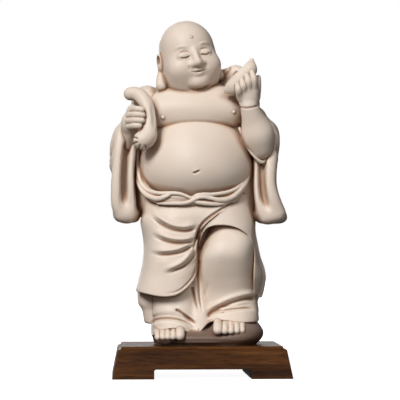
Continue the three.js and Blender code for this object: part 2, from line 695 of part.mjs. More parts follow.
// The robe's front panel over the left-hand leg, with its swags and its rounded hem.
function skirtPanel() {
  let mass = loft([
    level(143.4, -7.5, -3, 49.5, 29), level(134, -10, -4, 47, 36), level(124, -13, -6, 44, 38.4),
    level(115.4, -17.8, -8, 41.4, 38), level(97.4, -22, -9, 33.6, 37),
    level(79.4, -26, -10, 29.8, 35), level(62.4, -28.5, -9, 30.5, 35),
    level(47.4, -29.5, -8, 34, 37), level(35.4, -30, -8, 36, 38),
  ], 2.2, 3);
  const underLapel = pressed(wrapMass(), (x, y, z) => -LAPEL_RISE);
  mass = blend(6, mass, underLapel);
  const cut = region([
    [-72, 152.4], [-64, 107.4], [-62, 75.4], [-64.5, 47.4], [-63, 46.2], [-50, 42.9], [-37, 40.9],
    [-24, 42.4], [-14, 48.4], [-6.5, 56.4], [-2.8, 65.4], [-2, 77.4], [-2.7, 89.4], [-1.2, 103.4],
    [4.5, 111.9], [14, 120.2], [28, 130.9], [40, 141.4], [26, 161.4], [-20, 167.4],
  ]);
  const swags = [
    crease(
      [[-52, 125], [-40, 114.9], [-28, 108.7], [-16, 106.8], [-8, 108.2], [-1, 111.6]],
      3.8, 3, { ends: [0.35, 0.2], lip: 2.2 },
    ),
    crease(
      [[-50, 104.4], [-40, 99.2], [-31, 95.9], [-21, 94.6], [-11, 95.3], [-3, 99.4]],
      3.6, 2.8, { ends: [0.4, 0.2], lip: 2 },
    ),
    crease(
      [[-52, 85.4], [-42, 83.4], [-32, 83.2], [-20, 85.4], [-10, 90.2], [-4, 94.4]],
      3.6, 2.4, { ends: [0.4, 0.2], lip: 1.8 },
    ),
    crease(
      [[-38, 63.4], [-28, 66.4], [-18, 70.6], [-11, 76.4], [-6.5, 82.4], [-4, 87.9]],
      3.6, 2.6, { ends: [0.4, 0.2], lip: 2 },
    ),
    crease(
      [[8, 125], [2, 93], [4, 51]],
      6, 2.2, { view: "left", ends: [0.3, 0], deepest: -20, lip: 0.8 },
    ),
  ];
  const lapel = crease([
    [35, 135.4], [22, 128.4], [9.5, 120.2], [1.2, 112.4], [-2.8, 103.9], [-5.8, 91.4], [-6.2, 79.4],
  ], 2.2, 2.2, { ends: [0.1, 0.3] });
  const hem = crease(
    [[-4, 73.4], [-5.5, 64.4], [-11, 55.9], [-20, 47.9], [-30, 44.4], [-40, 43.8]],
    1.8, 0.9, { ends: [0.2, 0.5] },
  );
  return pressed(within(1.6, pressed(mass, ...swags), cut), lapel, hem);
}

// The robe's other front, which wraps over the raised knee.
function wrapRight() {
  const cut = region([
    [31, 134.4], [5, 125.4], [-10, 111.4], [-14, 92.4], [-8, 79.4], [-2.4, 79.4], [-0.8, 87.4],
    [0.8, 97.4], [4.5, 105.9], [10, 110.6], [19, 112.4], [30, 111.6], [40, 108.1], [48.5, 101.4],
    [53.2, 92.9], [54.4, 81.4], [53.6, 62.4], [53.8, 45.4], [54.4, 33.4], [62, 22.4], [76, 47.4],
    [75, 97.4], [62, 152.4], [40, 152.4],
  ]);
  return pressed(
    within(1.4, wrapMass(), cut),
    crease(
      [[62, 125.4], [56, 105.4], [59, 83.4], [62, 61.4]],
      5, 1.6, { ends: [0.3, 0.3], deepest: 0 },
    ),
    crease(
      [[-16, 145], [-8, 115], [-10, 85], [-6, 51]],
      6, 2.6, { view: "right", ends: [0.3, 0], deepest: -20, lip: 1.6 },
    ),
  );
}

// The trouser leg with the bent knee.
function rightLeg() {
  return loft([
    level(115.4, 30, -6, 19, 31),
    level(106, 30, -8, 22, 33),
    level(94, 29, -12, 25.5, 36),
    level(82.4, 26.6, -13, 27.6, 36.5),
    level(70, 25.8, -11, 28.6, 33.5),
    level(58, 25.6, -8, 28.8, 30.5),
    level(45, 26.6, -5, 28.6, 28),
    level(33, 29, -4, 28.6, 28),
    level(22, 30.6, -6.5, 28.2, 31),
    level(11.4, 32, -8, 27, 31.5),
  ], 2.5, 6);
}

// Both trouser legs and the cloth between them, down to the hem over the feet.
function trousers() {
  const left = loft([
    level(57.4, -25, -6, 23, 27), level(37.4, -24, -7, 23.5, 28), level(22, -24, -8, 24, 31),
    level(12, -24, -8.5, 24.6, 34.5), level(-2.6, -24, -9, 25, 36.5),
  ], 2.3, 5);
  const middle = loft([
    level(87.4, 1, -6, 10, 22), level(62.4, -3, -4, 13, 23), level(37.4, -3, -4, 15, 24),
    level(19.4, -1, -7, 18, 29), level(-0.6, 0, -9, 20, 32),
  ], 2.2, 5);
  const hem = region([
    [-60, 97.4], [-50, 87.4], [-47.5, 37.4], [-49, 15.4], [-48, 1.9], [-43, 5.2], [-35, 8.2],
    [-25, 9.4], [-17, 7.4], [-9, 4.6], [-2, 4.4], [3, 8.8], [8, 14], [15, 16.6], [25, 17.1],
    [37, 15.6], [48, 15.2], [59.5, 17.4], [59, 27.4], [56, 47.4], [62, 97.4], [40, 137.4],
    [-20, 127.4],
  ]);
  const cloth = within(1.3, blend(3, left, middle, rightLeg()), hem);
  return pressed(
    cloth,
    crease(
      [[-25.5, 28.8], [-20, 26], [-14, 21.4], [-7, 16.4], [-0.5, 11.4]],
      2.4, 2.2, { ends: [0.12, 0.5], lip: 0.9 },
    ),
    crease(
      [[-47.5, 15.4], [-40, 18.4], [-30, 19], [-20, 17.4], [-10, 13.2], [-3, 10.4]],
      3.2, 2.8, { ends: [0.02, 0.3], lip: -1.8 },
    ),
    crease(
      [[4, 18], [9, 23], [16, 28.2], [27, 33.6], [38, 37.4], [47, 39.4], [57, 39.4]],
      3.8, 3, { ends: [0.35, 0.15], lip: 1.8 },
    ),
    crease(
      [[5, 18.6], [10, 23.4], [18, 26.4], [30, 27.8], [42, 29], [50, 29], [57, 27]],
      3, 2.6, { ends: [0.2, 0.25], lip: -1.4 },
    ),
    crease([[8.4, 58.4], [7, 49], [4.4, 39]], 3.6, 0.9, { ends: [0.4, 0.4] }),
    crease(
      [[0, 79.7], [-1.8, 61.4], [-1, 44], [1.4, 27.4], [6, 19]],
      2.4, 1.7, { ends: [0.1, 0.3] },
    ),
    crease([[-8, 52], [-6.4, 44], [-3.4, 33.6], [0.6, 22.4]], 2.6, 1.8, { ends: [0.1, 0.4] }),
    crease(
      [[-4, 71], [0, 49], [-2, 25]],
      6, 2.6, { view: "right", ends: [0.3, 0.2], deepest: -20, lip: 1.6 },
    ),
    crease(
      [[4, 59], [0, 41], [2, 23]],
      6, 2.6, { view: "left", ends: [0.3, 0.2], deepest: -20, lip: -1.6 },
    ),
  );
}

// Toes at tips (u, v, y, radius), each a stub that runs up and back under the hem, with its nail.
function toes(tips) {
  const stubs = [];
  for (const [u, v, y, r] of tips) {
    stubs.push(
      blend(
        0.4,
        tube([
          seen(u, v + 7, y + 12, r * 0.95), seen(u, v + 4, y + 3.4, r),
          seen(u, v + 0.6, y, r * 0.97),
        ], 3),
        ellipsoid(seen(u, v + 3.6, y - 0.5), [r * 0.6, 1.1, r * 0.62], [-38, 0, 0]),
      ),
    );
  }
  return blend(1.1, ...stubs);
}

// The bare front halves of both feet.
function feet() {
  const left = blend(
    3, ellipsoid(seen(-30, 1.6, -28), [15, 15, 8.5]),
    toes(
      [
        [-42, -0.1, -43.5, 3], [-37, 0.1, -46, 3], [-31.9, 0.3, -47.4, 3.1],
        [-26.6, 0.5, -48.2, 3.2], [-19.8, 1.3, -48, 4.6],
      ],
    ),
  );
  const right = blend(
    3, ellipsoid(seen(30, 8.6, -28), [16, 15, 9.5]),
    toes(
      [
        [18, 7, -47.6, 4.6], [25, 6.2, -48.4, 3.5], [31, 6.2, -48, 3.3], [36.8, 6.4, -46.8, 3.2],
        [42.2, 6.8, -44.8, 3.1],
      ],
    ),
  );
  return blend(0, left, right);
}

// The low rock that the feet stand on, higher under the right-hand foot.
function rock() {
  const low = loft([
    level(13.4, 0, 4, 45, 30), level(5.4, 3, -3, 50, 41), level(-1, 3, -4, 49.5, 43),
    level(-5.6, 2, -3, 47, 40), level(-12, 1, -2, 43, 36),
  ], 2.6, 4);
  const high = loft([
    level(18.4, 32, 0, 23.6, 34), level(12, 33.5, -3, 27.2, 40), level(6.4, 34.5, -4, 28.8, 42.5),
    level(0.4, 33.5, -4, 28.2, 44), level(-5.6, 30, -4, 26, 40), level(-12, 28, -3, 22, 35),
  ], 2.4, 4);
  return blend(4, low, high);
}

// The under-robe that shows below the robe at the back and the sides.
function backPanel() {
  return pressed(
    loft([
      level(52.4, 0, 10, 63, 34), level(44, -1, 10, 61.8, 33.5), level(34.4, -2.2, 10, 59.8, 33),
      level(27.4, -0.8, 9, 57.2, 32), level(14.4, 0.2, 8, 55.8, 31),
    ], 2.3, 3),
    crease(
      [[-26, 57], [-24, 37], [-28, 21]],
      7, 3.4, { view: "back", ends: [0.1, 0], deepest: 0, lip: 1.6 },
    ),
    crease(
      [[2, 57], [0, 37], [4, 21]],
      7, 3.4, { view: "back", ends: [0.1, 0], deepest: 0, lip: -1.6 },
    ),
    crease(
      [[30, 57], [27, 37], [30, 21]],
      7, 3.4, { view: "back", ends: [0.1, 0], deepest: 0, lip: -1.6 },
    ),
  );
}

// The head in its own frame: z up, y back, origin at its middle.
function head() {
  const skull = blend(
    14, ellipsoid([0.6, 3, 9.8], [27.4, 30.5, 28.9]),
    ellipsoid([0, -3, -15.5], [28.4, 25, 24]),
  );
  const cheeks = blend(0, ...[-1, 1].map((s) => ellipsoid([s * 14, -17.5, -10], [11.5, 10, 10])));
  const nose = blend(
    3, tube([[0, -26.6, 6, 2.2], [0, -29.4, 0, 2.8], [0, -31.6, -5.6, 3.6]], 6),
    ellipsoid([0, -31.8, -7.2], [4, 4, 3.5]),
    ellipsoid([-4.3, -28.8, -7.8], [2.9, 3.4, 2.5]),
    ellipsoid([4.3, -28.8, -7.8], [2.9, 3.4, 2.5]),
  );
  let face = blend(4, blend(9, skull, cheeks), nose);
  const lids = blend(0, ...[-1, 1].map((s) => ellipsoid([s * 10.8, -24.4, 2], [6.2, 4.4, 4])));
  const upper = tube([
    [-7.2, -26.2, -14.7, 0.7], [-3.6, -28.2, -14.6, 1.3], [-1.2, -28.9, -14.1, 1.4],
    [0, -29, -14.4, 1.3], [1.2, -28.9, -14.1, 1.4], [3.6, -28.2, -14.6, 1.3],
    [7.2, -26.2, -14.7, 0.7],
  ], 6);
  const lower = tube(
    [[-5.8, -26.4, -16.2, 0.8], [0, -28.2, -17.4, 1.8], [5.8, -26.4, -16.2, 0.8]],
    6,
  );
  const chin = ellipsoid([0, -23.6, -26], [8, 5.4, 5]);
  face = blend(2.5, blend(6, face, chin), lids);
  face = blend(3, face, blend(0.8, upper, lower));
  const urna = ellipsoid([0, -25.8, 19.4], [1.35, 1.1, 1.5]);
  face = blend(0.8, face, urna);
  const lines = [];
  for (const s of [-1, 1]) {
    lines.push(
      crease(
        [[s * 5, 1.6], [s * 8, 0.1], [s * 12, -0.3], [s * 16.4, 1.4]],
        1.3, 1, { view: "plain", ends: [0.2, 0.3], deepest: 0 },
      ),
      crease(
        [[s * 4.6, 4.8], [s * 8, 6.2], [s * 12.2, 6.3], [s * 17, 4]],
        1.8, 0.6, { view: "plain", ends: [0.3, 0.35], deepest: 0 },
      ),
      crease(
        [[s * 4.4, 9], [s * 9, 11.6], [s * 14.5, 11.6], [s * 19, 8.6]],
        2.6, -0.8, { view: "plain", ends: [0.35, 0.35], deepest: 0 },
      ),
      crease(
        [[s * 7.4, -8.2], [s * 9.6, -11], [s * 10.6, -15]],
        2.6, 0.45, { view: "plain", ends: [0.35, 0.5], deepest: 0 },
      ),
    );
  }
  lines.push(
    crease(
      [[-8.2, -14.6], [-4, -15.4], [0, -15.6], [4, -15.4], [8.2, -14.6]],
      1.2, 0.7, { view: "plain", ends: [0.15, 0.15], deepest: 0 },
    ),
  );
  lines.push(
    crease(
      [[-15, -26.5], [-8.5, -30.4], [0, -31.8], [8.5, -30.4], [15, -26.5]],
      2.8, 1.2, { view: "plain", ends: [0.35, 0.35], deepest: 0 },
    ),
  );
  face = pressed(face, ...lines);
  return blend(1, face, ear(-1, 0, 3.6), ear(1, 7, -1.6));
}

// A long ear, on side s of the head, set back by so much, its lobe standing out by splay.
function ear(s, back, splay) {
  const shell = ellipsoid([s * 27.5, 3 + back, 1], [4.4, 7.8, 10], [0, 0, s * 32]);
  const hollow = ellipsoid([s * 30.7, back, 2], [2.8, 4.2, 6.4], [0, 0, s * 32]);
  const lobe = tube([
    [s * (27.4 + splay * 0.2), 4 + back * 0.5, -3, 3.2],
    [s * (28 + splay * 0.4), 4 + back * 0.5, -8.5, 3.6],
    [s * (29.3 + splay * 0.6), 1.2 + back * 0.6, -14.5, 4.7],
    [s * (30.2 + splay * 0.8), back * 0.7 - 1.8, -21.4, 5.7],
  ], 6, [1.06, 1, 1]);
  return blend(2, carve(1, shell, hollow), lobe);
}

// The whole figure as one form, cut flat at its underside.
function figure() {
  const turnedHead = placed(head(), seen(-11.4, 278.8, -6), [0, -11, 15]);
  const neck = cone(seen(-5, 233.4, 3), seen(-6, 255.4, 4), 27.5, 24.5);
  const shoulderRight = ellipsoid(seen(40, 239.4, 6), [18, 22, 24], [0, -35, 0]);
  const shoulderLeft = ellipsoid(seen(-53, 236, 4), [15.8, 21, 16.4]);
  const bare = blend(2, torso(), neck);
  const robe = blend(6, robeBack(), blend(5, shoulderRight, shoulderLeft));
  const parts = [
    bounded(blend(1.4, bare, turnedHead), [-80, -70, 122], [80, 70, 337]),
    robe,
    bounded(leftSleeve(), [-100, -45, 101], [-50, 45, 253]),
    bounded(rightSleeve(), [40, -45, 101], [100, 45, 253]),
    bounded(blend(0.8, blend(2, forearm(), fistRight()), ingot()), [20, -60, 162], [90, 10, 296]),
    bounded(blend(0.8, roll(), fistLeft()), [-100, -60, 183], [-40, 10, 266]),
    bounded(sash(), [-75, -60, 122], [75, 20, 216]),
    bounded(skirtPanel(), [-75, -55, 31], [45, 45, 182]),
    bounded(wrapRight(), [-20, -55, 31], [80, 45, 182]),
    bounded(trousers(), [-58, -58, 0], [70, 45, 143]),
    bounded(backPanel(), [-75, -40, 13], [75, 60, 80]),
    bounded(blend(1, rock(), feet()), [-65, -60, -16], [70, 50, 46]),
  ];
  return within(0, blend(1, ...parts), above(0));
}

// The form's values on a grid of cells between two corners. A block of cells that its middle
// shows to be far from the surface is filled with the value there.
function sampled(form, low, high, step) {
  const count = low.map((value, i) => Math.ceil((high[i] - value) / step) + 1);
  const [nx, ny, nz] = count;
  const values = new Float32Array(nx * ny * nz);
  const valueAt = (i, j, k) => form(low[0] + i * step, low[1] + j * step, low[2] + k * step);
  const octants = [0, 1, 2, 3, 4, 5, 6, 7].map((n) => [n & 1, (n >> 1) & 1, n >> 2]);
  const fill = (i, j, k, size) => {
    const half = (size - 1) / 2;
    const middle = valueAt(i + half, j + half, k + half);
    const far = Math.abs(middle) > (half * Math.sqrt(3) + 1) * step * 1.4;
    if (!far && size > 3) {
      for (const [a, b, c] of octants) {
        fill(i + (a * size) / 2, j + (b * size) / 2, k + (c * size) / 2, size / 2);
      }
      return;
    }
    for (let c = k; c < Math.min(k + size, nz); c++) {
      for (let b = j; b < Math.min(j + size, ny); b++) {
        for (let a = i; a < Math.min(i + size, nx); a++) {
          values[a + nx * (b + ny * c)] = far ? middle : valueAt(a, b, c);
        }
      }
    }
  };
  const block = 12;
  for (let k = 0; k < nz; k += block) {
    for (let j = 0; j < ny; j += block) {
      for (let i = 0; i < nx; i += block) {
        fill(i, j, k, block);
      }
    }
  }
  return { values, count, low, step };
}

// The surface where the sampled form is 0, as vertices and triangles that face outwards.
function traced({ values, count, low, step }) {
  const [nx, ny, nz] = count;
  const rise = [1, nx, nx * ny];
  // a cell's corners as steps along x, y and z, and its edges as a corner and an axis
  const corners = [
    [0, 0, 0], [1, 0, 0], [1, 1, 0], [0, 1, 0], [0, 0, 1], [1, 0, 1], [1, 1, 1], [0, 1, 1],
  ].map((c) => c[0] + c[1] * rise[1] + c[2] * rise[2]);
  const edges = [
    [0, 0], [1, 1], [3, 0], [0, 1], [4, 0], [5, 1], [7, 0], [4, 1], [0, 2], [1, 2], [2, 2], [3, 2],
  ];
  const points = [];
  const triangles = [];
  const known = new Map();
  const vertexOn = (corner, axis) => {
    const key = corner * 3 + axis;
    if (!known.has(key)) {
      const a = values[corner];
      const b = values[corner + rise[axis]];
      const place = [corner % nx, Math.floor(corner / nx) % ny, Math.floor(corner / (nx * ny))];
      place[axis] += clamp(a / (a - b), 0.02, 0.98);
      known.set(key, points.length);
      points.push(place.map((n, i) => low[i] + n * step));
    }
    return known.get(key);
  };
  for (let k = 0; k < nz - 1; k++) {
    for (let j = 0; j < ny - 1; j++) {
      for (let i = 0; i < nx - 1; i++) {
        const first = i + nx * (j + ny * k);
        const cell = corners.reduce((sum, c, n) => sum + (values[first + c] < 0 ? 1 << n : 0), 0);
        if (edgeTable[cell] === 0) {
          continue;
        }
        for (let n = cell * 16; triTable[n] !== -1; n += 3) {
          const triangle = [0, 2, 1].map((m) => {
            const [corner, axis] = edges[triTable[n + m]];
            return vertexOn(first + corners[corner], axis);
          });
          triangles.push(triangle);
        }
      }
    }
  }
  return { points, triangles };
}

// The largest connected piece of a surface, without specks and hollows inside it.
function outermost({ points, triangles }) {
  const parent = Int32Array.from(points, (_, i) => i);
  const rootOf = (v) => {
    while (parent[v] !== v) {
      parent[v] = parent[parent[v]];
      v = parent[v];
    }
    return v;
  };
  triangles.forEach(([a, b, c]) => {
    parent[rootOf(b)] = rootOf(a);
    parent[rootOf(c)] = rootOf(a);
  });
  const sizes = new Map();
  triangles.forEach(([a]) => sizes.set(rootOf(a), (sizes.get(rootOf(a)) ?? 0) + 1));
  const [main] = [...sizes].sort((a, b) => b[1] - a[1])[0];
  return { points, triangles: triangles.filter(([a]) => rootOf(a) === main) };
}

// A heap that gives the entry with the least cost first.
class Heap {
  constructor() {
    this.entries = [];
  }

  push(entry) {
    const e = this.entries;
    let i = e.push(entry) - 1;
    while (i > 0 && e[(i - 1) >> 1].cost > entry.cost) {
      e[i] = e[(i - 1) >> 1];
      i = (i - 1) >> 1;
    }
    e[i] = entry;
  }

  pop() {
    const e = this.entries;
    const top = e[0];
    const entry = e.pop();
    if (e.length > 0) {
      let i = 0;
      let child = 1;
      while (child < e.length) {
        if (child + 1 < e.length && e[child + 1].cost < e[child].cost) {
          child++;
        }
        if (e[child].cost >= entry.cost) {
          break;
        }
        e[i] = e[child];
        i = child;
        child = 2 * i + 1;
      }
      e[i] = entry;
    }
    return top;
  }
}

const subtract = (a, b) => [a[0] - b[0], a[1] - b[1], a[2] - b[2]];
const dot = (a, b) => a[0] * b[0] + a[1] * b[1] + a[2] * b[2];
const cross = (a, b) => [
  a[1] * b[2] - a[2] * b[1],
  a[2] * b[0] - a[0] * b[2],
  a[0] * b[1] - a[1] * b[0],
];

// Joins edges of a closed mesh, those that change its shape least first, until few faces are left.
// fine gives how much a face at a point counts, so that small carving keeps more of them.
function simplified({ points, triangles }, faces, fine) {
  const place = points.map((p) => [...p]);
  const face = triangles.map((t) => [...t]);
  const around = place.map(() => new Set());
  face.forEach((t, i) => t.forEach((v) => around[v].add(i)));
  // a sum of squared distances to planes: the terms xx xy xz xw yy yz yw zz zw ww
  const planes = place.map(() => new Float64Array(10));
  const normalOf = (a, b, c) => cross(subtract(b, a), subtract(c, a));
  face.forEach((t) => {
    const [a, b, c] = t.map((v) => place[v]);
    const n = normalOf(a, b, c);
    const area = Math.hypot(...n) + 1e-12;
    const [x, y, z] = n.map((value) => value / area);
    const w = -dot([x, y, z], a);
    const weight = area * fine(...a);
    const terms = [x * x, x * y, x * z, x * w, y * y, y * z, y * w, z * z, z * w, w * w];
    t.forEach((v) => terms.forEach((value, i) => (planes[v][i] += weight * value)));
  });
  const errorAt = (q, [x, y, z]) =>
    q[0] * x * x + 2 * q[1] * x * y + 2 * q[2] * x * z + 2 * q[3] * x +
    q[4] * y * y + 2 * q[5] * y * z + 2 * q[6] * y + q[7] * z * z + 2 * q[8] * z + q[9];
  const joined = (a, b) => {
    const q = planes[a].map((value, i) => value + planes[b][i]);
    const middle = place[a].map((value, i) => (value + place[b][i]) / 2);
    const options = [place[a], place[b], middle];
    const m = new THREE.Matrix3().set(q[0], q[1], q[2], q[1], q[4], q[5], q[2], q[5], q[7]);
    const size = (q[0] + q[4] + q[7]) / 3;
    if (Math.abs(m.determinant()) > 1e-4 * size ** 3) {
      const best = new THREE.Vector3(-q[3], -q[6], -q[8]).applyMatrix3(m.invert()).toArray();
      const edge = Math.hypot(...subtract(place[a], place[b]));
      if (Math.hypot(...subtract(best, middle)) < 1.5 * edge) {
        options.push(best);
      }
    }
    const costs = options.map((p) => errorAt(q, p));
    const least = costs.indexOf(Math.min(...costs));
    return { cost: Math.max(costs[least], 0), at: options[least] };
  };
  const version = new Uint32Array(place.length);
  const heap = new Heap();
  const offer = (a, b) => {
    heap.push({ ...joined(a, b), a, b, va: version[a], vb: version[b] });
  };
  face.forEach((t) => {
    t.forEach((v, i) => {
      const next = t[(i + 1) % 3];
      if (v < next) {
        offer(v, next);
      }
    });
  });
  const neighbours = (v) => {
    const found = new Set();
    around[v].forEach((f) => face[f].forEach((n) => found.add(n)));
    found.delete(v);
    return found;
  };
  // false where a face round v would turn over or become a sliver
  const holds = (v, other, at) =>
    [...around[v]].every((f) => {
      if (face[f].includes(other)) {
        return true;
      }
      const before = normalOf(...face[f].map((n) => place[n]));
      const corners = face[f].map((n) => (n === v ? at : place[n]));
      const after = normalOf(...corners);
      const sides = corners.map((p, i) => Math.hypot(...subtract(p, corners[(i + 1) % 3])));
      const area = Math.hypot(...after);
      const turned = dot(before, after) < LEAST_COSINE * Math.hypot(...before) * area;
      const sliver = area < LEAST_FATNESS * Math.max(...sides) ** 2;
      return !turned && !sliver;
    });
  let left = face.length;
  while (left > faces && heap.entries.length > 0) {
    const { a, b, va, vb, at } = heap.pop();
    if (version[a] !== va || version[b] !== vb) {
      continue;
    }
    const ringA = neighbours(a);
    const ringB = neighbours(b);
    const shared = [...ringA].filter((n) => ringB.has(n));
    if (shared.length !== 2 || !holds(a, b, at) || !holds(b, a, at)) {
      continue;
    }
    around[b].forEach((f) => {
      if (face[f].includes(a)) {
        face[f].forEach((n) => around[n].delete(f));
        face[f] = [];
        left--;
      } else {
        face[f] = face[f].map((n) => (n === b ? a : n));
        around[a].add(f);
      }
    });
    around[b].clear();
    place[a] = at;
    planes[b].forEach((value, i) => (planes[a][i] += value));
    version[a]++;
    version[b]++;
    neighbours(a).forEach((n) => offer(Math.min(a, n), Math.max(a, n)));
  }
  return { points: place, triangles: face.filter((t) => t.length === 3) };
}

function geometryOf({ points, triangles }) {
  const renumber = new Map();
  const kept = [];
  const index = triangles.flat().map((v) => {
    if (!renumber.has(v)) {
      renumber.set(v, kept.length);
      kept.push(points[v]);
    }
    return renumber.get(v);
  });
  const geometry = new THREE.BufferGeometry();
  geometry.setAttribute("position", new THREE.Float32BufferAttribute(kept.flat(), 3));
  geometry.setIndex(index);
  geometry.computeVertexNormals();
  return geometry;
}

// The face and the hands count for more than plain cloth.
function fineness(x, y, z) {
  const onHead = z > FACE.bottom && y < FACE.back && Math.abs(x - FACE.middle) < FACE.halfWidth;
  const onHands = y < HANDS.back && z > HANDS.bottom && (x < HANDS.left || x > HANDS.right);
  return onHead || onHands ? CARVED_WEIGHT : 1;
}

function figureGeometry() {
  const grid = sampled(figure(), SPACE_LOW, SPACE_HIGH, SURFACE_STEP);
  const surface = outermost(traced(grid));
  const geometry = geometryOf(simplified(surface, FIGURE_FACES, fineness));
  return geometry.scale(UNIT, UNIT, UNIT);
}

// A closed solid through rounded rectangles, each [height, half length, half depth, corner radius].
function stacked(levels) {
  const cornerSteps = 4;
  const ring = ([z, halfLength, halfDepth, radius]) => {
    const points = [];
    [[1, 1], [-1, 1], [-1, -1], [1, -1]].forEach(([sx, sy], quarter) => {
      for (let i = 0; i <= cornerSteps; i++) {
        const angle = ((quarter + i / cornerSteps) * Math.PI) / 2;
        points.push([
          sx * (halfLength - radius) + radius * Math.cos(angle),
          sy * (halfDepth - radius) + radius * Math.sin(angle),
          z,
        ]);
      }
    });
    return points;
  };
  const rings = levels.map(ring);
  const n = rings[0].length;
  const points = rings.flat();
  const triangles = [];
  for (let r = 0; r + 1 < rings.length; r++) {
    for (let i = 0; i < n; i++) {
      const j = (i + 1) % n;
      const [a, b, c, d] = [r * n + i, r * n + j, (r + 1) * n + j, (r + 1) * n + i];
      triangles.push([a, b, c], [a, c, d]);
    }
  }
  const top = (rings.length - 1) * n;
  for (let i = 1; i + 1 < n; i++) {
    triangles.push([0, i + 1, i], [top, top + i, top + i + 1]);
  }
  return geometryOf({ points, triangles });
}

// The opening under the plinth, with rounded upper corners, as a bar from front to back.
function archGeometry() {
  const half = PLINTH_LENGTH / 2 - RUNNER_WIDTH;
  const below = -CUT_PAST;
  const side = half - ARCH_RADIUS;
  const spring = ARCH_HEIGHT - ARCH_RADIUS;
  const shape = new THREE.Shape();
  shape.moveTo(-half, below);
  shape.lineTo(half, below);
  shape.lineTo(half, spring);
  shape.absarc(side, spring, ARCH_RADIUS, 0, Math.PI / 2, false);
  shape.lineTo(-side, ARCH_HEIGHT);
  shape.absarc(-side, spring, ARCH_RADIUS, Math.PI / 2, Math.PI, false);
  const length = PLINTH_DEPTH + 2 * CUT_PAST;
  const bar = new THREE.ExtrudeGeometry(shape, { depth: length, bevelEnabled: false, curveSegments: 4 });
  return bar.rotateX(Math.PI / 2).translate(0, length / 2, 0);
}

function solidOf(geometry) {
  const plain = geometry.clone();
  plain.deleteAttribute("normal");
  plain.deleteAttribute("uv");
  const merged = mergeVertices(plain, 1e-4);
  return new wasm.Manifold(new wasm.Mesh({
    numProp: 3,
    vertProperties: merged.attributes.position.array,
    triVerts: new Uint32Array(merged.index.array),
  }));
}

function geometryFrom(solid) {
  const { vertProperties, triVerts } = solid.getMesh();
  const geometry = new THREE.BufferGeometry();
  geometry.setAttribute("position", new THREE.BufferAttribute(vertProperties, 3));
  geometry.setIndex(new THREE.BufferAttribute(triVerts, 1));
  geometry.computeVertexNormals();
  return geometry;
}

// A block with leaning sides, a coved shoulder and a flat top, on two runners.
function plinthGeometry() {
  const shoulder = PLINTH_HEIGHT - SHOULDER_HEIGHT;
  const at = (z, inset) => [z, PLINTH_LENGTH / 2 - inset, PLINTH_DEPTH / 2 - inset, PLINTH_CORNER];
  const cove = [0, 30, 60, 90].map((degrees) => {
    const angle = THREE.MathUtils.degToRad(degrees);
    const rise = COVE_EDGE.rise + SHOULDER_HEIGHT * COVE_SHARE * (1 - Math.cos(angle));
    const inset = COVE_EDGE.inset + (SHOULDER_STEP - COVE_EDGE.inset) * Math.sin(angle);
    return at(shoulder + rise, PLINTH_LEAN + inset);
  });
  const rim = at(PLINTH_HEIGHT, PLINTH_LEAN + SHOULDER_STEP);
  const block = stacked([at(0, 0), at(shoulder, PLINTH_LEAN), ...cove, rim]);
  return geometryFrom(solidOf(block).subtract(solidOf(archGeometry())));
}

const wasm = await Module();
wasm.setup();

const plinth = new THREE.Mesh(plinthGeometry(), WALNUT);
plinth.name = "plinth";

const statue = new THREE.Mesh(figureGeometry(), PORCELAIN);
statue.name = "figure";
statue.position.set(FIGURE_X, FIGURE_Y, PLINTH_HEIGHT + REST_GAP);
statue.rotation.z = THREE.MathUtils.degToRad(FIGURE_TURN);

const budai = new THREE.Group();
budai.add(plinth, statue);

export default budai;
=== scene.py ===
"""The budai figure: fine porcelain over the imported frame, its dark wood plinth, the light and the camera.

The figure is one implicit form, a function of place that is negative inside. It is sampled on a
grid, its surface is drawn through the samples, and each vertex is then moved onto the form itself.
Form coordinates are in mm from the middle of the figure's underside, which faces -Y. Most forms are
placed by what a view from the front shows: u to the right, v up, and y the depth away from the viewer.
"""
import math
from functools import reduce

import bpy
import numpy as np
import openvdb as vdb
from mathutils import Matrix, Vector


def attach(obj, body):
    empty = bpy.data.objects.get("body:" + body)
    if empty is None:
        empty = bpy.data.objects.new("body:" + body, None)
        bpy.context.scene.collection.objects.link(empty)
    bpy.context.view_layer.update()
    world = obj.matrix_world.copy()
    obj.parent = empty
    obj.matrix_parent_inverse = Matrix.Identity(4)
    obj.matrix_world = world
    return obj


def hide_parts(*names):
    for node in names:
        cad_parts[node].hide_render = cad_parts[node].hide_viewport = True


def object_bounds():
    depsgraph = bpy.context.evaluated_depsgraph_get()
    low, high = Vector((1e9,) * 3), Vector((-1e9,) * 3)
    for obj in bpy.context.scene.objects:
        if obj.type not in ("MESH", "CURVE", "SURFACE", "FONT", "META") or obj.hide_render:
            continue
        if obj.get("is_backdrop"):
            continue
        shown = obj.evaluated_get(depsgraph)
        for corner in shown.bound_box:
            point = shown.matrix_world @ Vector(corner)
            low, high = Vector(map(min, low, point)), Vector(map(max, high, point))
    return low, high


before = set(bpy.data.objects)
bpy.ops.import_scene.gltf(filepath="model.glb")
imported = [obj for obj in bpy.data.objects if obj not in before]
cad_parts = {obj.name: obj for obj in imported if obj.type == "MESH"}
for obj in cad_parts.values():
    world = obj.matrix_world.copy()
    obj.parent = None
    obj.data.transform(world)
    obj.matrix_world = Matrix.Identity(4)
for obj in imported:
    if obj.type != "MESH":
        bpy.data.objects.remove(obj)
CAD_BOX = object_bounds()

MM = 0.001
TINIEST = 1e-12
TINY = 1e-9
SMALL = 1e-6
HUGE = 1e9
LOFT_STEPS = 8
OUTLINE_STEPS = 6
FIGURE_PLACE = (0.0, 3.0, 31.3)
FIGURE_TURN = -3.0
VIEW_DISTANCE = 1600.0
EYE_HEIGHT = 87.7
DRAWN_FROM = 5.5
HORIZON = EYE_HEIGHT - DRAWN_FROM
LAPEL_RISE = 2.4


# Views


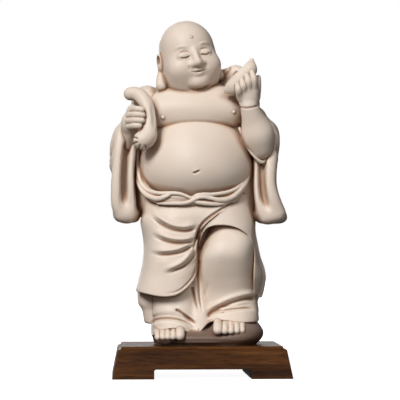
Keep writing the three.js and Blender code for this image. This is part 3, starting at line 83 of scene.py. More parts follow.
def seen(u, v, y, *more):
    """The point at depth y that the front view shows at (u, v), with any further values after it."""
    k = 1 + y / VIEW_DISTANCE
    return (u * k, y, EYE_HEIGHT + (v - HORIZON) * k, *more)


def path(*points):
    """A tube's points, from the front view's (u, v, y, radius)."""
    return [seen(*point) for point in points]


def pick(view, x, y, z):
    """The two coordinates that a view shows, and the depth away from the viewer."""
    if view == "front":
        k = 1 + y / VIEW_DISTANCE
        return x / k, HORIZON + (z - EYE_HEIGHT) / k, y
    if view == "back":
        return -x, z, -y
    if view == "left":
        return -y, z, x
    if view == "right":
        return y, z, -x
    return x, z, y


# Ways to join and cut forms


def smooth_min(a, b, k):
    """The lesser of two distances, rounded over k mm."""
    if k <= 0:
        return np.minimum(a, b)
    h = np.maximum(k - np.abs(a - b), 0.0) / k
    return np.minimum(a, b) - h * h * k * 0.25


def smooth_max(a, b, k):
    """The greater of two distances, rounded over k mm."""
    return -smooth_min(-a, -b, k)


def joined(join, k, forms):
    """The forms, joined one after the other by smooth_min or smooth_max."""
    return lambda x, y, z: reduce(lambda a, b: join(a, b, k), (form(x, y, z) for form in forms))


def blend(k, *forms):
    """The forms joined, with fillets k mm wide."""
    return joined(smooth_min, k, forms)


def within(k, *forms):
    """What the forms have in common, with edges rounded over k mm."""
    return joined(smooth_max, k, forms)


def carve(k, form, cut):
    """The form less the cut, with edges rounded over k mm."""
    return within(k, form, lambda x, y, z: -cut(x, y, z))


def swollen(form, by):
    """The form, grown by so many mm."""
    return lambda x, y, z: form(x, y, z) - by


def above(height):
    """Everything above a height."""
    return lambda x, y, z: height - z


def turn_matrix(degrees):
    """The matrix of turns about x, then y, then z."""
    a, b, c = (math.radians(angle) for angle in degrees)
    about_x = np.array([[1, 0, 0], [0, math.cos(a), -math.sin(a)], [0, math.sin(a), math.cos(a)]])
    about_y = np.array([[math.cos(b), 0, math.sin(b)], [0, 1, 0], [-math.sin(b), 0, math.cos(b)]])
    about_z = np.array([[math.cos(c), -math.sin(c), 0], [math.sin(c), math.cos(c), 0], [0, 0, 1]])
    return about_z @ about_y @ about_x


def placed(form, at, turn=(0, 0, 0)):
    """The form, turned and moved to a place."""
    m = turn_matrix(turn)

    def field(x, y, z):
        x, y, z = x - at[0], y - at[1], z - at[2]
        return form(*(m[0, i] * x + m[1, i] * y + m[2, i] * z for i in range(3)))

    return field


def beyond(low, high, *place):
    """How far a place lies outside a box, along each of the box's sides."""
    return [np.maximum(np.maximum(a - t, t - b), 0) for a, b, t in zip(low, high, place)]


def bounded(form, low, high, margin=6.0):
    """The form, worked out only near its own box, which has to hold all of it."""

    def field(x, y, z):
        dx, dy, dz = beyond(low, high, x, y, z)
        out = np.sqrt(dx * dx + dy * dy + dz * dz)
        near = out < margin
        d = out + margin
        if near.any():
            d[near] = form(x[near], y[near], z[near])
        return d

    return field


# Plain forms


def ellipsoid(centre, radii, turn=(0, 0, 0)):
    """An ellipsoid, turned about its centre."""
    r = np.array(radii, float)

    def field(x, y, z):
        x, y, z = x / r[0], y / r[1], z / r[2]
        k0 = np.sqrt(x * x + y * y + z * z)
        k1 = np.sqrt((x / r[0]) ** 2 + (y / r[1]) ** 2 + (z / r[2]) ** 2) + TINY
        return k0 * (k0 - 1.0) / k1

    return placed(field, centre, turn)


def masses(k, *rows):
    """Ellipsoids from rows of a place (u, v, y) and radii, joined with fillets k mm wide."""
    return blend(k, *[ellipsoid(seen(*place), radii) for place, radii in rows])


def cone(a, b, radius_a, radius_b):
    """A round cone: the hull of a ball at a and a ball at b."""
    a, b = np.array(a, float), np.array(b, float)
    length = float(np.linalg.norm(b - a))
    axis = (b - a) / max(length, TINY)
    shrink = radius_a - radius_b
    if length <= abs(shrink) + SMALL:
        centre, radius = (a, radius_a) if radius_a > radius_b else (b, radius_b)

        def ball(x, y, z):
            return np.sqrt((x - centre[0]) ** 2 + (y - centre[1]) ** 2 + (z - centre[2]) ** 2) - radius

        return ball
    sine = shrink / length
    cosine = math.sqrt(1 - sine * sine)

    def field(x, y, z):
        px, py, pz = x - a[0], y - a[1], z - a[2]
        h = px * axis[0] + py * axis[1] + pz * axis[2]
        out2 = np.maximum(px * px + py * py + pz * pz - h * h, 0)
        out = np.sqrt(out2)
        foot = h * cosine - out * sine
        side = out * cosine + h * sine - radius_a
        start = np.sqrt(out2 + h * h) - radius_a
        end = np.sqrt(out2 + (h - length) ** 2) - radius_b
        return np.where(foot <= 0, start, np.where(foot >= length * cosine, end, side))

    return field


def smooth_curve(points, steps):
    """Points along a Catmull-Rom curve through the given ones, any number of values each."""
    p = [np.array(point, float) for point in points]
    p = [2 * p[0] - p[1]] + p + [2 * p[-1] - p[-2]]
    out = []
    for i in range(1, len(p) - 2):
        for step in range(steps):
            t = step / steps
            rise = (p[i + 1] - p[i - 1]) * t
            bend = (2 * p[i - 1] - 5 * p[i] + 4 * p[i + 1] - p[i + 2]) * t * t
            turn = (3 * p[i] - p[i - 1] - 3 * p[i + 1] + p[i + 2]) * t ** 3
            out.append(0.5 * (2 * p[i] + rise + bend + turn))
    out.append(p[-2])
    return out


def tube(points, steps=6, squash=(1, 1, 1)):
    """A round tube through points (x, y, z, radius). squash scales space, for a flattened section."""
    q = smooth_curve(points, steps)
    s = np.array(squash, float)
    cones = [cone(a[:3] * s, b[:3] * s, a[3], b[3]) for a, b in zip(q, q[1:])]
    centres = np.array([point[:3] for point in q])
    fat = max(point[3] for point in q) / s.min()

    def field(x, y, z):
        x, y, z = x * s[0], y * s[1], z * s[2]
        d = cones[0](x, y, z)
        for form in cones[1:]:
            d = np.minimum(d, form(x, y, z))
        return d / s.max()

    return bounded(field, centres.min(0) - fat, centres.max(0) + fat)


def loft(power, cap, *sections):
    """An upright form through sections, from the front view's (v, u, y, half width, half depth).

    A greater power squares its sections, and cap rounds its ends over so many mm.
    """
    rows = []
    for v, u, y, half_width, half_depth in sections:
        x, _, z = seen(u, v, y)
        rows.append((z, x, y, half_width, half_depth))
    q = np.array(smooth_curve(sorted(rows), LOFT_STEPS))
    heights = q[:, 0]

    def field(x, y, z):
        cx, cy, rx, ry = (np.interp(z, heights, q[:, i]) for i in (1, 2, 3, 4))
        u, v = np.abs(x - cx) / rx, np.abs(y - cy) / ry
        k0 = (u ** power + v ** power) ** (1 / power)
        k1 = np.sqrt((u / rx) ** 2 + (v / ry) ** 2) + TINY
        side = (k0 - 1.0) * np.minimum(k0 / k1, np.maximum(rx, ry))
        ends = np.maximum(heights[0] - z, z - heights[-1])
        return smooth_max(side, ends, cap)

    return field


# Lines drawn on a view

CREASE_REACH = 2.6
CREASE_FALL = 8.0
RIDGE_AT, RIDGE_WIDTH = 1.1, 0.8
HOLLOW_AT, HOLLOW_WIDTH = 0.9, 0.9


class Line:
    """A smooth line drawn on a view. near() gives the distance to it, its side and how far along."""

    def __init__(self, points, steps=5):
        self.q = np.array(smooth_curve(points, steps))
        gaps = np.hypot(*np.diff(self.q[:, :2], axis=0).T)
        self.at = np.concatenate([[0], np.cumsum(gaps)]) / gaps.sum()
        self.low, self.high = self.q[:, :2].min(0), self.q[:, :2].max(0)

    def near(self, u, v):
        best = np.full(u.shape, HUGE)
        side = np.ones(u.shape)
        along = np.zeros(u.shape)
        for i in range(len(self.q) - 1):
            a, b = self.q[i, :2], self.q[i + 1, :2]
            e = b - a
            pu, pv = u - a[0], v - a[1]
            t = np.clip((pu * e[0] + pv * e[1]) / (e @ e + TINIEST), 0, 1)
            du, dv = pu - t * e[0], pv - t * e[1]
            d = du * du + dv * dv
            hit = d < best
            best = np.where(hit, d, best)
            side = np.where(hit, np.sign(e[0] * pv - e[1] * pu), side)
            along = np.where(hit, self.at[i] + t * (self.at[i + 1] - self.at[i]), along)
        return np.sqrt(best), side, along


def fade(t, ends):
    """1 in the middle of a line and 0 at its ends, over the shares given for its start and its end."""
    s = np.ones_like(t)
    for share, gone in zip(ends, (t, 1 - t)):
        if share > 0:
            s = s * np.clip(gone / share, 0, 1)
    return s * s * (3 - 2 * s)


def crease(points, width, depth, view="front", ends=(0.25, 0.25), deepest=0.0, lip=0.0):
    """A groove along a line drawn in a view, down to deepest, the depth away from the viewer.

    Beyond that depth it fades out over CREASE_FALL mm. A positive lip raises a ridge on the line's
    left-hand side and sinks a soft hollow on the other, each about one width away from the line.
    """
    line = Line(points)
    reach = width * CREASE_REACH
    gone = deepest + CREASE_FALL

    def push(x, y, z):
        u, v, w = pick(view, x, y, z)
        out = np.zeros_like(x)
        across = (u > line.low[0] - reach) & (u < line.high[0] + reach)
        near = across & (v > line.low[1] - reach) & (v < line.high[1] + reach) & (w < gone)
        if near.any():
            d, side, t = line.near(u[near], v[near])
            s = fade(t, ends) * np.clip((gone - w[near]) / CREASE_FALL, 0, 1)
            groove = np.clip(1 - (d / width) ** 2, 0, 1)
            p = depth * groove * groove
            if lip:
                m = side * d / width
                ridge = np.exp(-((m - RIDGE_AT) / RIDGE_WIDTH) ** 2)
                hollow = np.exp(-((m + HOLLOW_AT) / HOLLOW_WIDTH) ** 2)
                p = p - lip * ridge + 0.5 * lip * hollow
            out[near] = p * s
        return out

    return push


def creases(view, *rows, deepest=0.0):
    """Creases drawn in one view, from rows of points, width, depth, ends and lip."""
    return [
        crease(points, width, depth, view, ends, deepest, lip)
        for points, width, depth, ends, lip in rows
    ]


def pressed(form, *pushes):
    """The form with creases pressed in."""
    return lambda x, y, z: sum((push(x, y, z) for push in pushes), form(x, y, z))


def region(points, margin=12.0):
    """Everything behind a closed smooth outline drawn in the front view, as a form without ends."""
    line = Line([*points, points[0]], OUTLINE_STEPS)
    q = line.q[:, :2]

    def field(x, y, z):
        u, v, _ = pick("front", x, y, z)
        d = np.hypot(*beyond(line.low, line.high, u, v))
        near = d < margin
        if near.any():
            un, vn = u[near], v[near]
            dist, _, _ = line.near(un, vn)
            inside = np.zeros(un.shape, bool)
            for a, b in zip(q, q[1:]):
                crosses = (a[1] > vn) != (b[1] > vn)
                at = a[0] + (vn - a[1]) / (b[1] - a[1] + TINIEST) * (b[0] - a[0])
                inside ^= crosses & (un < at)
            d[near] = np.where(inside, -dist, dist)
        return d

    return field


# The figure


def torso():
    """The bare chest and the round belly, with the navel and the nipples."""
    belly = masses(12, ((-3.7, 176.9, -4), (55.5, 47, 45)), ((-3.7, 164, -4), (52, 47, 32.5)))
    navel = crease([(-8.4, 164.2), (-4, 165.2), (1.4, 167.8)], 1.8, 1.5, ends=(0.45, 0.45), lip=0.4)
    chest = masses(
        10,
        ((-4, 229.4, 2), (52, 30, 27)),
        ((-27, 225.6, -12), (28, 19, 19)),
        ((21, 227.6, -12), (27, 19, 19)),
        ((-3, 225.2, -12.5), (26, 19.5, 18.6)),
    )
    nipples = masses(0, ((-37, 220.4, -28.6), (2, 1.8, 2)), ((34, 225.9, -28.1), (2, 1.8, 2)))
    return blend(1.5, pressed(belly, navel), blend(0.8, chest, nipples))


def robe_back():
    """The robe down the back, its collar round the neck, and its broad folds."""
    back = loft(
        2.3, 4,
        (253.4, -4, 14, 30, 18), (243.4, -7, 12, 47, 25), (229.4, -8, 11, 55, 31),
        (207.4, -6, 12, 61, 34), (177.4, -5, 12, 62, 35), (137.4, -4, 9, 61, 37),
        (115.4, -2.5, 11, 54.5, 34), (97.4, 0.4, 13, 54, 32), (62.4, 1.8, 14, 57.5, 32),
        (41.4, 1, 14, 58.6, 33),
    )
    collar = tube(path(
        (-37, 241.4, 2, 5), (-32, 251.4, 16, 6), (-18, 257.4, 25, 7), (0, 259.4, 27, 7.5),
        (18, 259.4, 22, 8), (29, 262, 13, 8.4), (37.4, 264, 6, 8.7), (46.5, 252.4, 0, 9),
    ))
    folds = creases(
        "back",
        ([(-30, 245), (-14, 217), (4, 203), (26, 199)], 7, 3, (0.2, 0.3), 1.6),
        ([(-44, 213), (-22, 183), (2, 167), (30, 163), (48, 173)], 8, 3.4, (0.25, 0.25), 1.8),
        ([(-46, 173), (-26, 143), (-2, 127), (24, 127), (46, 141)], 8, 3.2, (0.25, 0.25), 1.8),
        ([(-36, 127), (-34, 97), (-38, 51)], 7, 3.4, (0.3, 0), 1.6),
        ([(-12, 115), (-10, 87), (-14, 51)], 8, 3.8, (0.3, 0), 1.8),
        ([(16, 111), (14, 85), (18, 51)], 7, 3.4, (0.3, 0), -1.8),
        ([(38, 123), (34, 91), (40, 51)], 7, 3.4, (0.3, 0), -1.6),
    )
    for view, s in (("right", 1), ("left", -1)):
        folds += creases(
            view,
            ([(s * 8, 125), (s * 2, 93), (0, 49)], 7, 3, (0.3, 0), 0.9),
            ([(s * 26, 145), (s * 22, 103), (s * 24, 49)], 7, 3, (0.3, 0), 0.9),
        )
    gathers = creases(
        "front",
        ([(39, 268.4), (33, 261.4), (25, 255.4)], 2.4, 1.8, (0.2, 0.2), 0.8),
        ([(32, 271.4), (27, 264.4), (21, 260.4)], 2.2, 1.5, (0.2, 0.2), 0.7),
        deepest=24,
    )
    return blend(4, pressed(back, *folds), pressed(collar, *gathers))


def sleeve(s, body, outer, inner, groove, side, back):
    """A hanging sleeve from its body, two ridges, and its folds: in front, beside the figure, behind.

    s is -1 on the left of the front view and 1 on the right.
    """
    return pressed(
        blend(7, body, tube(path(*outer)), tube(path(*inner))),
        *creases("front", groove),
        *creases("front", side, deepest=4),
        *creases(
            "right" if s > 0 else "left",
            ([(s * -14, 225), (s * -6, 203), (s * -8, 171), (s * -2, 135)], 7, 2, (0.2, 0.2), s * -0.8),
            ([(s * 10, 215), (s * 8, 190), (s * 12, 160), (s * 8, 131)], 6, 1.8, (0.2, 0.2), s * 0.7),
            ([(s * -22, 201), (s * -14, 189), (s * 2, 183), (s * 16, 187)], 6, 2.2, (0.3, 0.3), s * -0.5),
            deepest=-30,
        ),
        crease(back, 6, 3.2, "back", (0.2, 0.1), lip=1.6),
    )


def left_sleeve():
    """The hanging sleeve on the left-hand side of the front view."""
    body = loft(
        2.4, 9,
        (233.4, -62.5, 8, 4.6, 10), (219.4, -67.6, 6, 8.4, 15), (207.4, -74, 4, 12, 21),
        (191.4, -76, 3, 15, 24), (172.4, -76, 3, 15, 24), (155.4, -73.5, 3, 13, 24),
        (132.4, -73.5, 3, 14, 25), (114.9, -72.5, 3, 13.5, 25),
    )
    outer = [
        (-77, 209.4, -18, 4), (-80.2, 192.4, -23, 5), (-82, 172.4, -25, 5.4),
        (-83, 152.4, -25, 5.8), (-82.5, 134.4, -23, 6.2), (-78, 124.4, -20, 7),
    ]
    inner = [
        (-67, 191.4, -17, 4), (-69, 177.4, -20, 4.6), (-70.2, 161.4, -22, 5),
        (-69, 145.4, -21, 5.4), (-67.5, 131.4, -19, 5.6), (-71.5, 123.4, -18, 7),
    ]
    groove = [(-71.5, 197.4), (-74.2, 179.4), (-75.4, 159.4), (-75.6, 143.4), (-76.6, 128.4)]
    side = [(-60.5, 187.4), (-62.5, 172.4), (-62.8, 157.4), (-61.5, 139.4), (-62, 123.4)]
    return sleeve(
        -1, body, outer, inner, (groove, 6, 4.4, (0.1, 0.3), 0), (side, 4.8, 4, (0.1, 0.15), 0),
        [(70, 217), (66, 187), (70, 157), (68, 133)],
    )


def right_sleeve():
    """The hanging sleeve on the right-hand side of the front view."""
    body = loft(
        2.4, 9,
        (231.4, 57, 6, 6, 12), (220.4, 59.5, 5, 8.5, 16), (211.4, 65, 4, 12.5, 20),
        (199.4, 67.3, 4, 13.7, 23), (182.4, 66, 3, 13.4, 24), (165.4, 64.6, 3, 13.3, 24),
        (147.4, 65, 3, 13.9, 24), (132.4, 67.5, 3, 16, 25), (120.4, 70.5, 3, 17, 25),
        (113.9, 71, 3, 16.5, 24),
    )
    outer = [
        (72, 191.4, -15, 4.6), (70.5, 172.4, -21, 5.8), (69.8, 153.4, -23, 6.2),
        (73, 138.4, -22, 6.8), (77.5, 125.4, -18, 7.4),
    ]
    inner = [
        (56.5, 177.4, -15, 3.4), (56.8, 162.4, -19, 4), (57, 145.4, -20, 4.6),
        (60, 130.4, -19, 5.4), (67, 121.9, -17, 7),
    ]
    groove = [(62.4, 181.4), (62, 161.4), (63.6, 143.4), (66.4, 134.4), (71.5, 125.4)]
    side = [(52, 185.4), (51.4, 169.4), (51, 149.4), (53, 131.4), (56, 121.4)]
    return sleeve(
        1, body, outer, inner, (groove, 6, 4.6, (0.1, 0.3), 0), (side, 4.8, 4.2, (0.1, 0.2), 0),
        [(-66, 217), (-62, 187), (-68, 157), (-68, 133)],
    )


def forearm():
    """The raised forearm and elbow, and the sleeve's edge that runs round under the elbow."""
    limb = blend(
        9,
        ellipsoid(seen(59.3, 201.4, -22), (13.8, 15, 21.5), (0, -13, 0)),
        cone(seen(60.6, 188.9, -22), seen(58, 199, -23), 8.5, 12.5),
        cone(seen(57, 206.4, -27), seen(49.3, 231.4, -37), 13.2, 8.6),
    )
    rim = tube(path(
        (39.8, 209.4, -20, 1.4), (46.4, 193.4, -26, 1.7), (54.2, 182.4, -27, 1.9),
        (62.2, 175.6, -24, 1.8), (69, 182.9, -20, 1.7), (73.6, 192.4, -16, 1.6),
        (75, 203.4, -12, 1.5), (71.5, 214.4, -8, 1.3),
    ))
    wrist = crease([(38, 231), (48, 229.8), (59, 232)], 1.8, 0.8, ends=(0.1, 0.1), deepest=-20)
    return blend(1, pressed(limb, wrist), rim)


def fist_right():
    """The hand under the ingot, its fingers folded up over the front of it."""
    palm = masses(4, ((48.6, 238.9, -37), (10.4, 8, 9)), ((48.8, 245.9, -38), (10.6, 7.4, 8.6)))
    fingers = []
    for root, middle, tip, r in (
        ((40.2, 240.9), (38.6, 247.9), (37.6, 253.4), 3),
        ((44.6, 243.9), (43.4, 251.6), (42, 257.8), 3.2),
        ((49.6, 245.9), (48.6, 255.6), (46.8, 262.2), 3.3),
        ((54.8, 246.9), (54.2, 257.9), (52.2, 265.8), 3.2),
    ):
        points = path((*root, -41, r * 1.1), (*middle, -47, r * 1.05), (*tip, -45, r * 0.8))
        fingers.append(tube(points, 5))
    thumb = tube(path((56.6, 240.4, -33, 4), (58.1, 251.4, -31, 3.5), (58.5, 260.4, -32, 2.7)), 5)
    return blend(3, blend(3, palm, thumb), blend(1.2, *fingers))


def ingot():
    """A boat-shaped ingot in its own frame: x along it, z out of its top; set into the hand."""
    hull = ellipsoid((-0.5, 0, 0.4), (19.8, 9.5, 10.8))
    deck = lambda x, y, z: z - (3.4 + 0.006 * x * x)
    boat = within(1.2, hull, deck)
    dome = ellipsoid((0, 0, 3), (9, 5.5, 3.4))
    tips = blend(
        0, cone((-11, 0, -1), (-19, 0, 3.2), 7.5, 2.2), cone((12, 0, -1), (20.2, 0, 4.8), 6.4, 2.3),
    )
    return placed(blend(2.5, blend(1.5, boat, dome), tips), seen(41.4, 259.8, -37), (-24, -47, 0))


def roll():
    """The roll that the left-hand fist holds, bent over at its top and gathered at its foot."""
    rod = tube(path(
        (-69.8, 244, -24, 6.5), (-64.5, 244, -26, 7), (-58.5, 240.5, -30, 7.2),
        (-53.4, 232.5, -34, 7), (-50.9, 221.4, -38, 6.6), (-50.6, 209.4, -41, 7.2),
        (-52.5, 200.9, -43, 9.2), (-57, 197.4, -43.5, 9.6),
    ), 8)
    mouth = cone(seen(-75, 237.4, -30), seen(-67.3, 235.4, -31), 2.2, 2.6)
    gathers = [
        crease(points, 1.7, 1.1, ends=(0.4, 0.1), deepest=-38)
        for points in (
            [(-61, 198.4), (-67, 200.9)],
            [(-61, 195.9), (-67, 193.9)],
            [(-59, 194.4), (-61.5, 187.4)],
            [(-55.5, 193.9), (-53.5, 187.4)],
        )
    ]
    seam = crease([(-49, 234.4), (-47, 222.4), (-46, 207.4)], 2.6, 1, ends=(0.3, 0.3), deepest=-20)
    return carve(1.2, pressed(rod, *gathers, seam), mouth)


def fist_left():
    """The hand that grips the roll, its fingers laid round the front of it."""
    palm = masses(4, ((-70.5, 215.4, -29), (8.2, 9, 9.8)), ((-67.5, 224.9, -31), (6.2, 8, 8.5)))
    fingers = []
    for root, tip, r in (
        ((-67.5, 228.6), (-58, 228.2), 2.9),
        ((-70.5, 222.8), (-57.2, 222.8), 3.1),
        ((-71.5, 217), (-57.6, 217.2), 3.1),
        ((-71.2, 211.2), (-60.4, 212), 2.9),
    ):
        middle = ((root[0] + tip[0]) / 2, (root[1] + tip[1]) / 2 + 0.5)
        points = path((*root, -38, r), (*middle, -45, r * 1.05), (*tip, -46.5, r * 0.9))
        fingers.append(tube(points))
    wrist = tube(path((-71, 210.4, -26, 7.4), (-70.5, 203.4, -22, 7), (-71, 194.4, -14, 7)))
    return blend(1.4, blend(4, palm, wrist), blend(0.6, *fingers))


def sash():
    """The sash under the belly: soft bands that turn up at the sides and cross in front."""
    flat = lambda *points: tube(path(*points), squash=(1, 1.3, 1))
    back = tube(path(
        (-60, 168, -10, 3), (-57.5, 154, -18, 4), (-50, 143.4, -28, 5), (-38, 138.4, -35, 5.4),
        (-22, 136.6, -39, 5.2), (-6, 136.2, -40, 4.6), (10, 136.4, -39.5, 5), (26, 138.4, -36, 5.2),
        (38, 146.4, -28, 5), (45.5, 158.4, -18, 4.4), (48.5, 170.4, -11, 3.2),
    ), 8)
    band = tube(path(
        (-58, 156, -19.5, 2.6), (-50, 146.4, -30, 3), (-38, 141.6, -37.5, 3.1),
        (-26, 141, -41.2, 3.2), (-15, 140, -42.8, 2.8), (-8, 138.4, -43.4, 2.2),
    ))
    brow = flat(
        (-62.3, 187.4, -6.5, 1.5), (-62.4, 173.4, -10.5, 1.8), (-61, 162, -18, 2),
        (-58.5, 154.4, -24, 2), (-53, 148, -31, 2), (-45, 145, -37.5, 2), (-38, 144.2, -41.5, 2),
        (-27, 144.4, -44.8, 1.9), (-20, 143.8, -45.8, 1.8), (-15, 142.2, -46.2, 1.6),
        (-9, 139.6, -46.4, 1.4), (-5, 137.6, -46, 1),
    )
    foot = flat(
        (-62.6, 168.4, -10.5, 1.4), (-61.8, 157.4, -18.5, 1.9), (-59, 149.4, -25.5, 2.3),
        (-53.5, 143, -32.5, 2.5), (-47, 139.8, -38, 2.6), (-41, 139, -41.5, 2.5),
        (-36, 140.4, -43.6, 2.1), (-31, 142.4, -44.8, 1.5),
    )
    strand = flat(
        (-42, 134.4, -38, 1.2), (-34, 134.2, -42, 1.7), (-26, 134.3, -44.2, 1.9),
        (-17, 134.3, -45.6, 2), (-9, 136.2, -46.6, 2), (-3, 139.4, -47, 1.9), (3, 140.6, -47, 1.9),
        (10, 139.6, -46.4, 2), (16, 138.2, -45.4, 2.2), (22, 137.6, -43.8, 2.4),
        (28, 138.4, -41.4, 2.6), (34, 141.4, -37.6, 2.7), (39, 146, -32.6, 2.6),
        (43, 151.6, -27, 2.4), (46.2, 158, -21, 2.2), (48.8, 166.4, -15, 1.8), (50, 174.4, -11, 1.5),
    )
    ridge = flat(
        (-9, 139, -45.4, 1.2), (-3, 142.4, -46.4, 1.7), (4, 143.4, -46.6, 1.7),
        (11, 143.2, -45.8, 1.7), (18, 143.8, -44.2, 1.8), (25, 144.8, -41.6, 1.9),
        (32, 146.9, -37.4, 1.9), (38, 150.4, -31.8, 1.8), (43, 156.4, -25, 1.6),
        (46, 164.4, -18, 1.4),
    )
    tail = flat(
        (-9, 137, -44.6, 1), (-3, 135.4, -46, 1.8), (4, 134.4, -45.8, 2.1), (12, 133.7, -44.8, 2.1),
        (20, 133.8, -43, 2), (28, 135.4, -39.6, 1.8), (35, 138.4, -34.8, 1.2),
    )
    return blend(0.9, back, band, brow, foot, strand, ridge, tail)


def wrap_mass():
    """The round mass of the robe over the right-hand leg, before its hem is cut."""
    return loft(
        2.2, 2,
        (143.4, 8, -3, 42, 29), (132.4, 13, -4, 38, 35), (117.4, 19, -6, 35.5, 38),
        (102.4, 24.6, -8, 32.1, 39), (82.4, 29.8, -8, 30.5, 38), (62.4, 31.5, -3, 32.8, 37),
        (49.4, 31.5, 2, 31.4, 34), (41.8, 30, 4, 31, 32),
    )


def skirt_panel():
    """The robe's front panel over the left-hand leg, with its swags and its rounded hem."""
    mass = loft(
        2.2, 3,
        (143.4, -7.5, -3, 49.5, 29), (134, -10, -4, 47, 36), (124, -13, -6, 44, 38.4),
        (115.4, -17.8, -8, 41.4, 38), (97.4, -22, -9, 33.6, 37), (79.4, -26, -10, 29.8, 35),
        (62.4, -28.5, -9, 30.5, 35), (47.4, -29.5, -8, 34, 37), (35.4, -30, -8, 36, 38),
    )
    mass = blend(6, mass, swollen(wrap_mass(), LAPEL_RISE))
    cut = region([
        (-72, 152.4), (-64, 107.4), (-62, 75.4), (-64.5, 47.4), (-63, 46.2), (-50, 42.9),
        (-37, 40.9), (-24, 42.4), (-14, 48.4), (-6.5, 56.4), (-2.8, 65.4), (-2, 77.4), (-2.7, 89.4),
        (-1.2, 103.4), (4.5, 111.9), (14, 120.2), (28, 130.9), (40, 141.4), (26, 161.4),
        (-20, 167.4),
    ])
    swags = creases(
        "front",
        ([(-52, 125), (-40, 114.9), (-28, 108.7), (-16, 106.8), (-8, 108.2), (-1, 111.6)],
         3.8, 3, (0.35, 0.2), 2.2),
        ([(-50, 104.4), (-40, 99.2), (-31, 95.9), (-21, 94.6), (-11, 95.3), (-3, 99.4)],
         3.6, 2.8, (0.4, 0.2), 2),
        ([(-52, 85.4), (-42, 83.4), (-32, 83.2), (-20, 85.4), (-10, 90.2), (-4, 94.4)],
         3.6, 2.4, (0.4, 0.2), 1.8),
        ([(-38, 63.4), (-28, 66.4), (-18, 70.6), (-11, 76.4), (-6.5, 82.4), (-4, 87.9)],
         3.6, 2.6, (0.4, 0.2), 2),
    )
    side = creases("left", ([(8, 125), (2, 93), (4, 51)], 6, 2.2, (0.3, 0), 0.8), deepest=-20)
    lapel = crease([
        (35, 135.4), (22, 128.4), (9.5, 120.2), (1.2, 112.4), (-2.8, 103.9), (-5.8, 91.4),
        (-6.2, 79.4),
    ], 2.2, 2.2, ends=(0.1, 0.3))
    hem = crease(
        [(-4, 73.4), (-5.5, 64.4), (-11, 55.9), (-20, 47.9), (-30, 44.4), (-40, 43.8)], 1.8, 0.9,
        ends=(0.2, 0.5),
    )
    return pressed(within(1.6, pressed(mass, *swags, *side), cut), lapel, hem)


def wrap_right():
    """The robe's other front, which wraps over the raised knee."""
    cut = region([
        (31, 134.4), (5, 125.4), (-10, 111.4), (-14, 92.4), (-8, 79.4), (-2.4, 79.4), (-0.8, 87.4),
        (0.8, 97.4), (4.5, 105.9), (10, 110.6), (19, 112.4), (30, 111.6), (40, 108.1),
        (48.5, 101.4), (53.2, 92.9), (54.4, 81.4), (53.6, 62.4), (53.8, 45.4), (54.4, 33.4),
        (62, 22.4), (76, 47.4), (75, 97.4), (62, 152.4), (40, 152.4),
    ])
    return pressed(
        within(1.4, wrap_mass(), cut),
        crease([(62, 125.4), (56, 105.4), (59, 83.4), (62, 61.4)], 5, 1.6, ends=(0.3, 0.3)),
        *creases(
            "right",
            ([(-16, 145), (-8, 115), (-10, 85), (-6, 51)], 6, 2.6, (0.3, 0), 1.6),
            deepest=-20,
        ),
    )


def right_leg():
    """The trouser leg with the bent knee."""
    return loft(
        2.5, 6,
        (115.4, 30, -6, 19, 31), (106, 30, -8, 22, 33), (94, 29, -12, 25.5, 36),
        (82.4, 26.6, -13, 27.6, 36.5), (70, 25.8, -11, 28.6, 33.5), (58, 25.6, -8, 28.8, 30.5),
        (45, 26.6, -5, 28.6, 28), (33, 29, -4, 28.6, 28), (22, 30.6, -6.5, 28.2, 31),
        (11.4, 32, -8, 27, 31.5),
    )


def trousers():
    """Both trouser legs and the cloth between them, down to the hem over the feet."""
    left = loft(
        2.3, 5,
        (57.4, -25, -6, 23, 27), (37.4, -24, -7, 23.5, 28), (22, -24, -8, 24, 31),
        (12, -24, -8.5, 24.6, 34.5), (-2.6, -24, -9, 25, 36.5),
    )
    middle = loft(
        2.2, 5,
        (87.4, 1, -6, 10, 22), (62.4, -3, -4, 13, 23), (37.4, -3, -4, 15, 24),
        (19.4, -1, -7, 18, 29), (-0.6, 0, -9, 20, 32),
    )
    hem = region([
        (-60, 97.4), (-50, 87.4), (-47.5, 37.4), (-49, 15.4), (-48, 1.9), (-43, 5.2), (-35, 8.2),
        (-25, 9.4), (-17, 7.4), (-9, 4.6), (-2, 4.4), (3, 8.8), (8, 14), (15, 16.6), (25, 17.1),
        (37, 15.6), (48, 15.2), (59.5, 17.4), (59, 27.4), (56, 47.4), (62, 97.4), (40, 137.4),
        (-20, 127.4),
    ])
    front = creases(
        "front",
        ([(-25.5, 28.8), (-20, 26), (-14, 21.4), (-7, 16.4), (-0.5, 11.4)],
         2.4, 2.2, (0.12, 0.5), 0.9),
        ([(-47.5, 15.4), (-40, 18.4), (-30, 19), (-20, 17.4), (-10, 13.2), (-3, 10.4)],
         3.2, 2.8, (0.02, 0.3), -1.8),
        ([(4, 18), (9, 23), (16, 28.2), (27, 33.6), (38, 37.4), (47, 39.4), (57, 39.4)],
         3.8, 3, (0.35, 0.15), 1.8),
        ([(5, 18.6), (10, 23.4), (18, 26.4), (30, 27.8), (42, 29), (50, 29), (57, 27)],
         3, 2.6, (0.2, 0.25), -1.4),
        ([(8.4, 58.4), (7, 49), (4.4, 39)], 3.6, 0.9, (0.4, 0.4), 0),
        ([(0, 79.7), (-1.8, 61.4), (-1, 44), (1.4, 27.4), (6, 19)], 2.4, 1.7, (0.1, 0.3), 0),
        ([(-8, 52), (-6.4, 44), (-3.4, 33.6), (0.6, 22.4)], 2.6, 1.8, (0.1, 0.4), 0),
    )
    return pressed(
        within(1.3, blend(3, left, middle, right_leg()), hem),
        *front,
        *creases("right", ([(-4, 71), (0, 49), (-2, 25)], 6, 2.6, (0.3, 0.2), 1.6), deepest=-20),
        *creases("left", ([(4, 59), (0, 41), (2, 23)], 6, 2.6, (0.3, 0.2), -1.6), deepest=-20),
    )


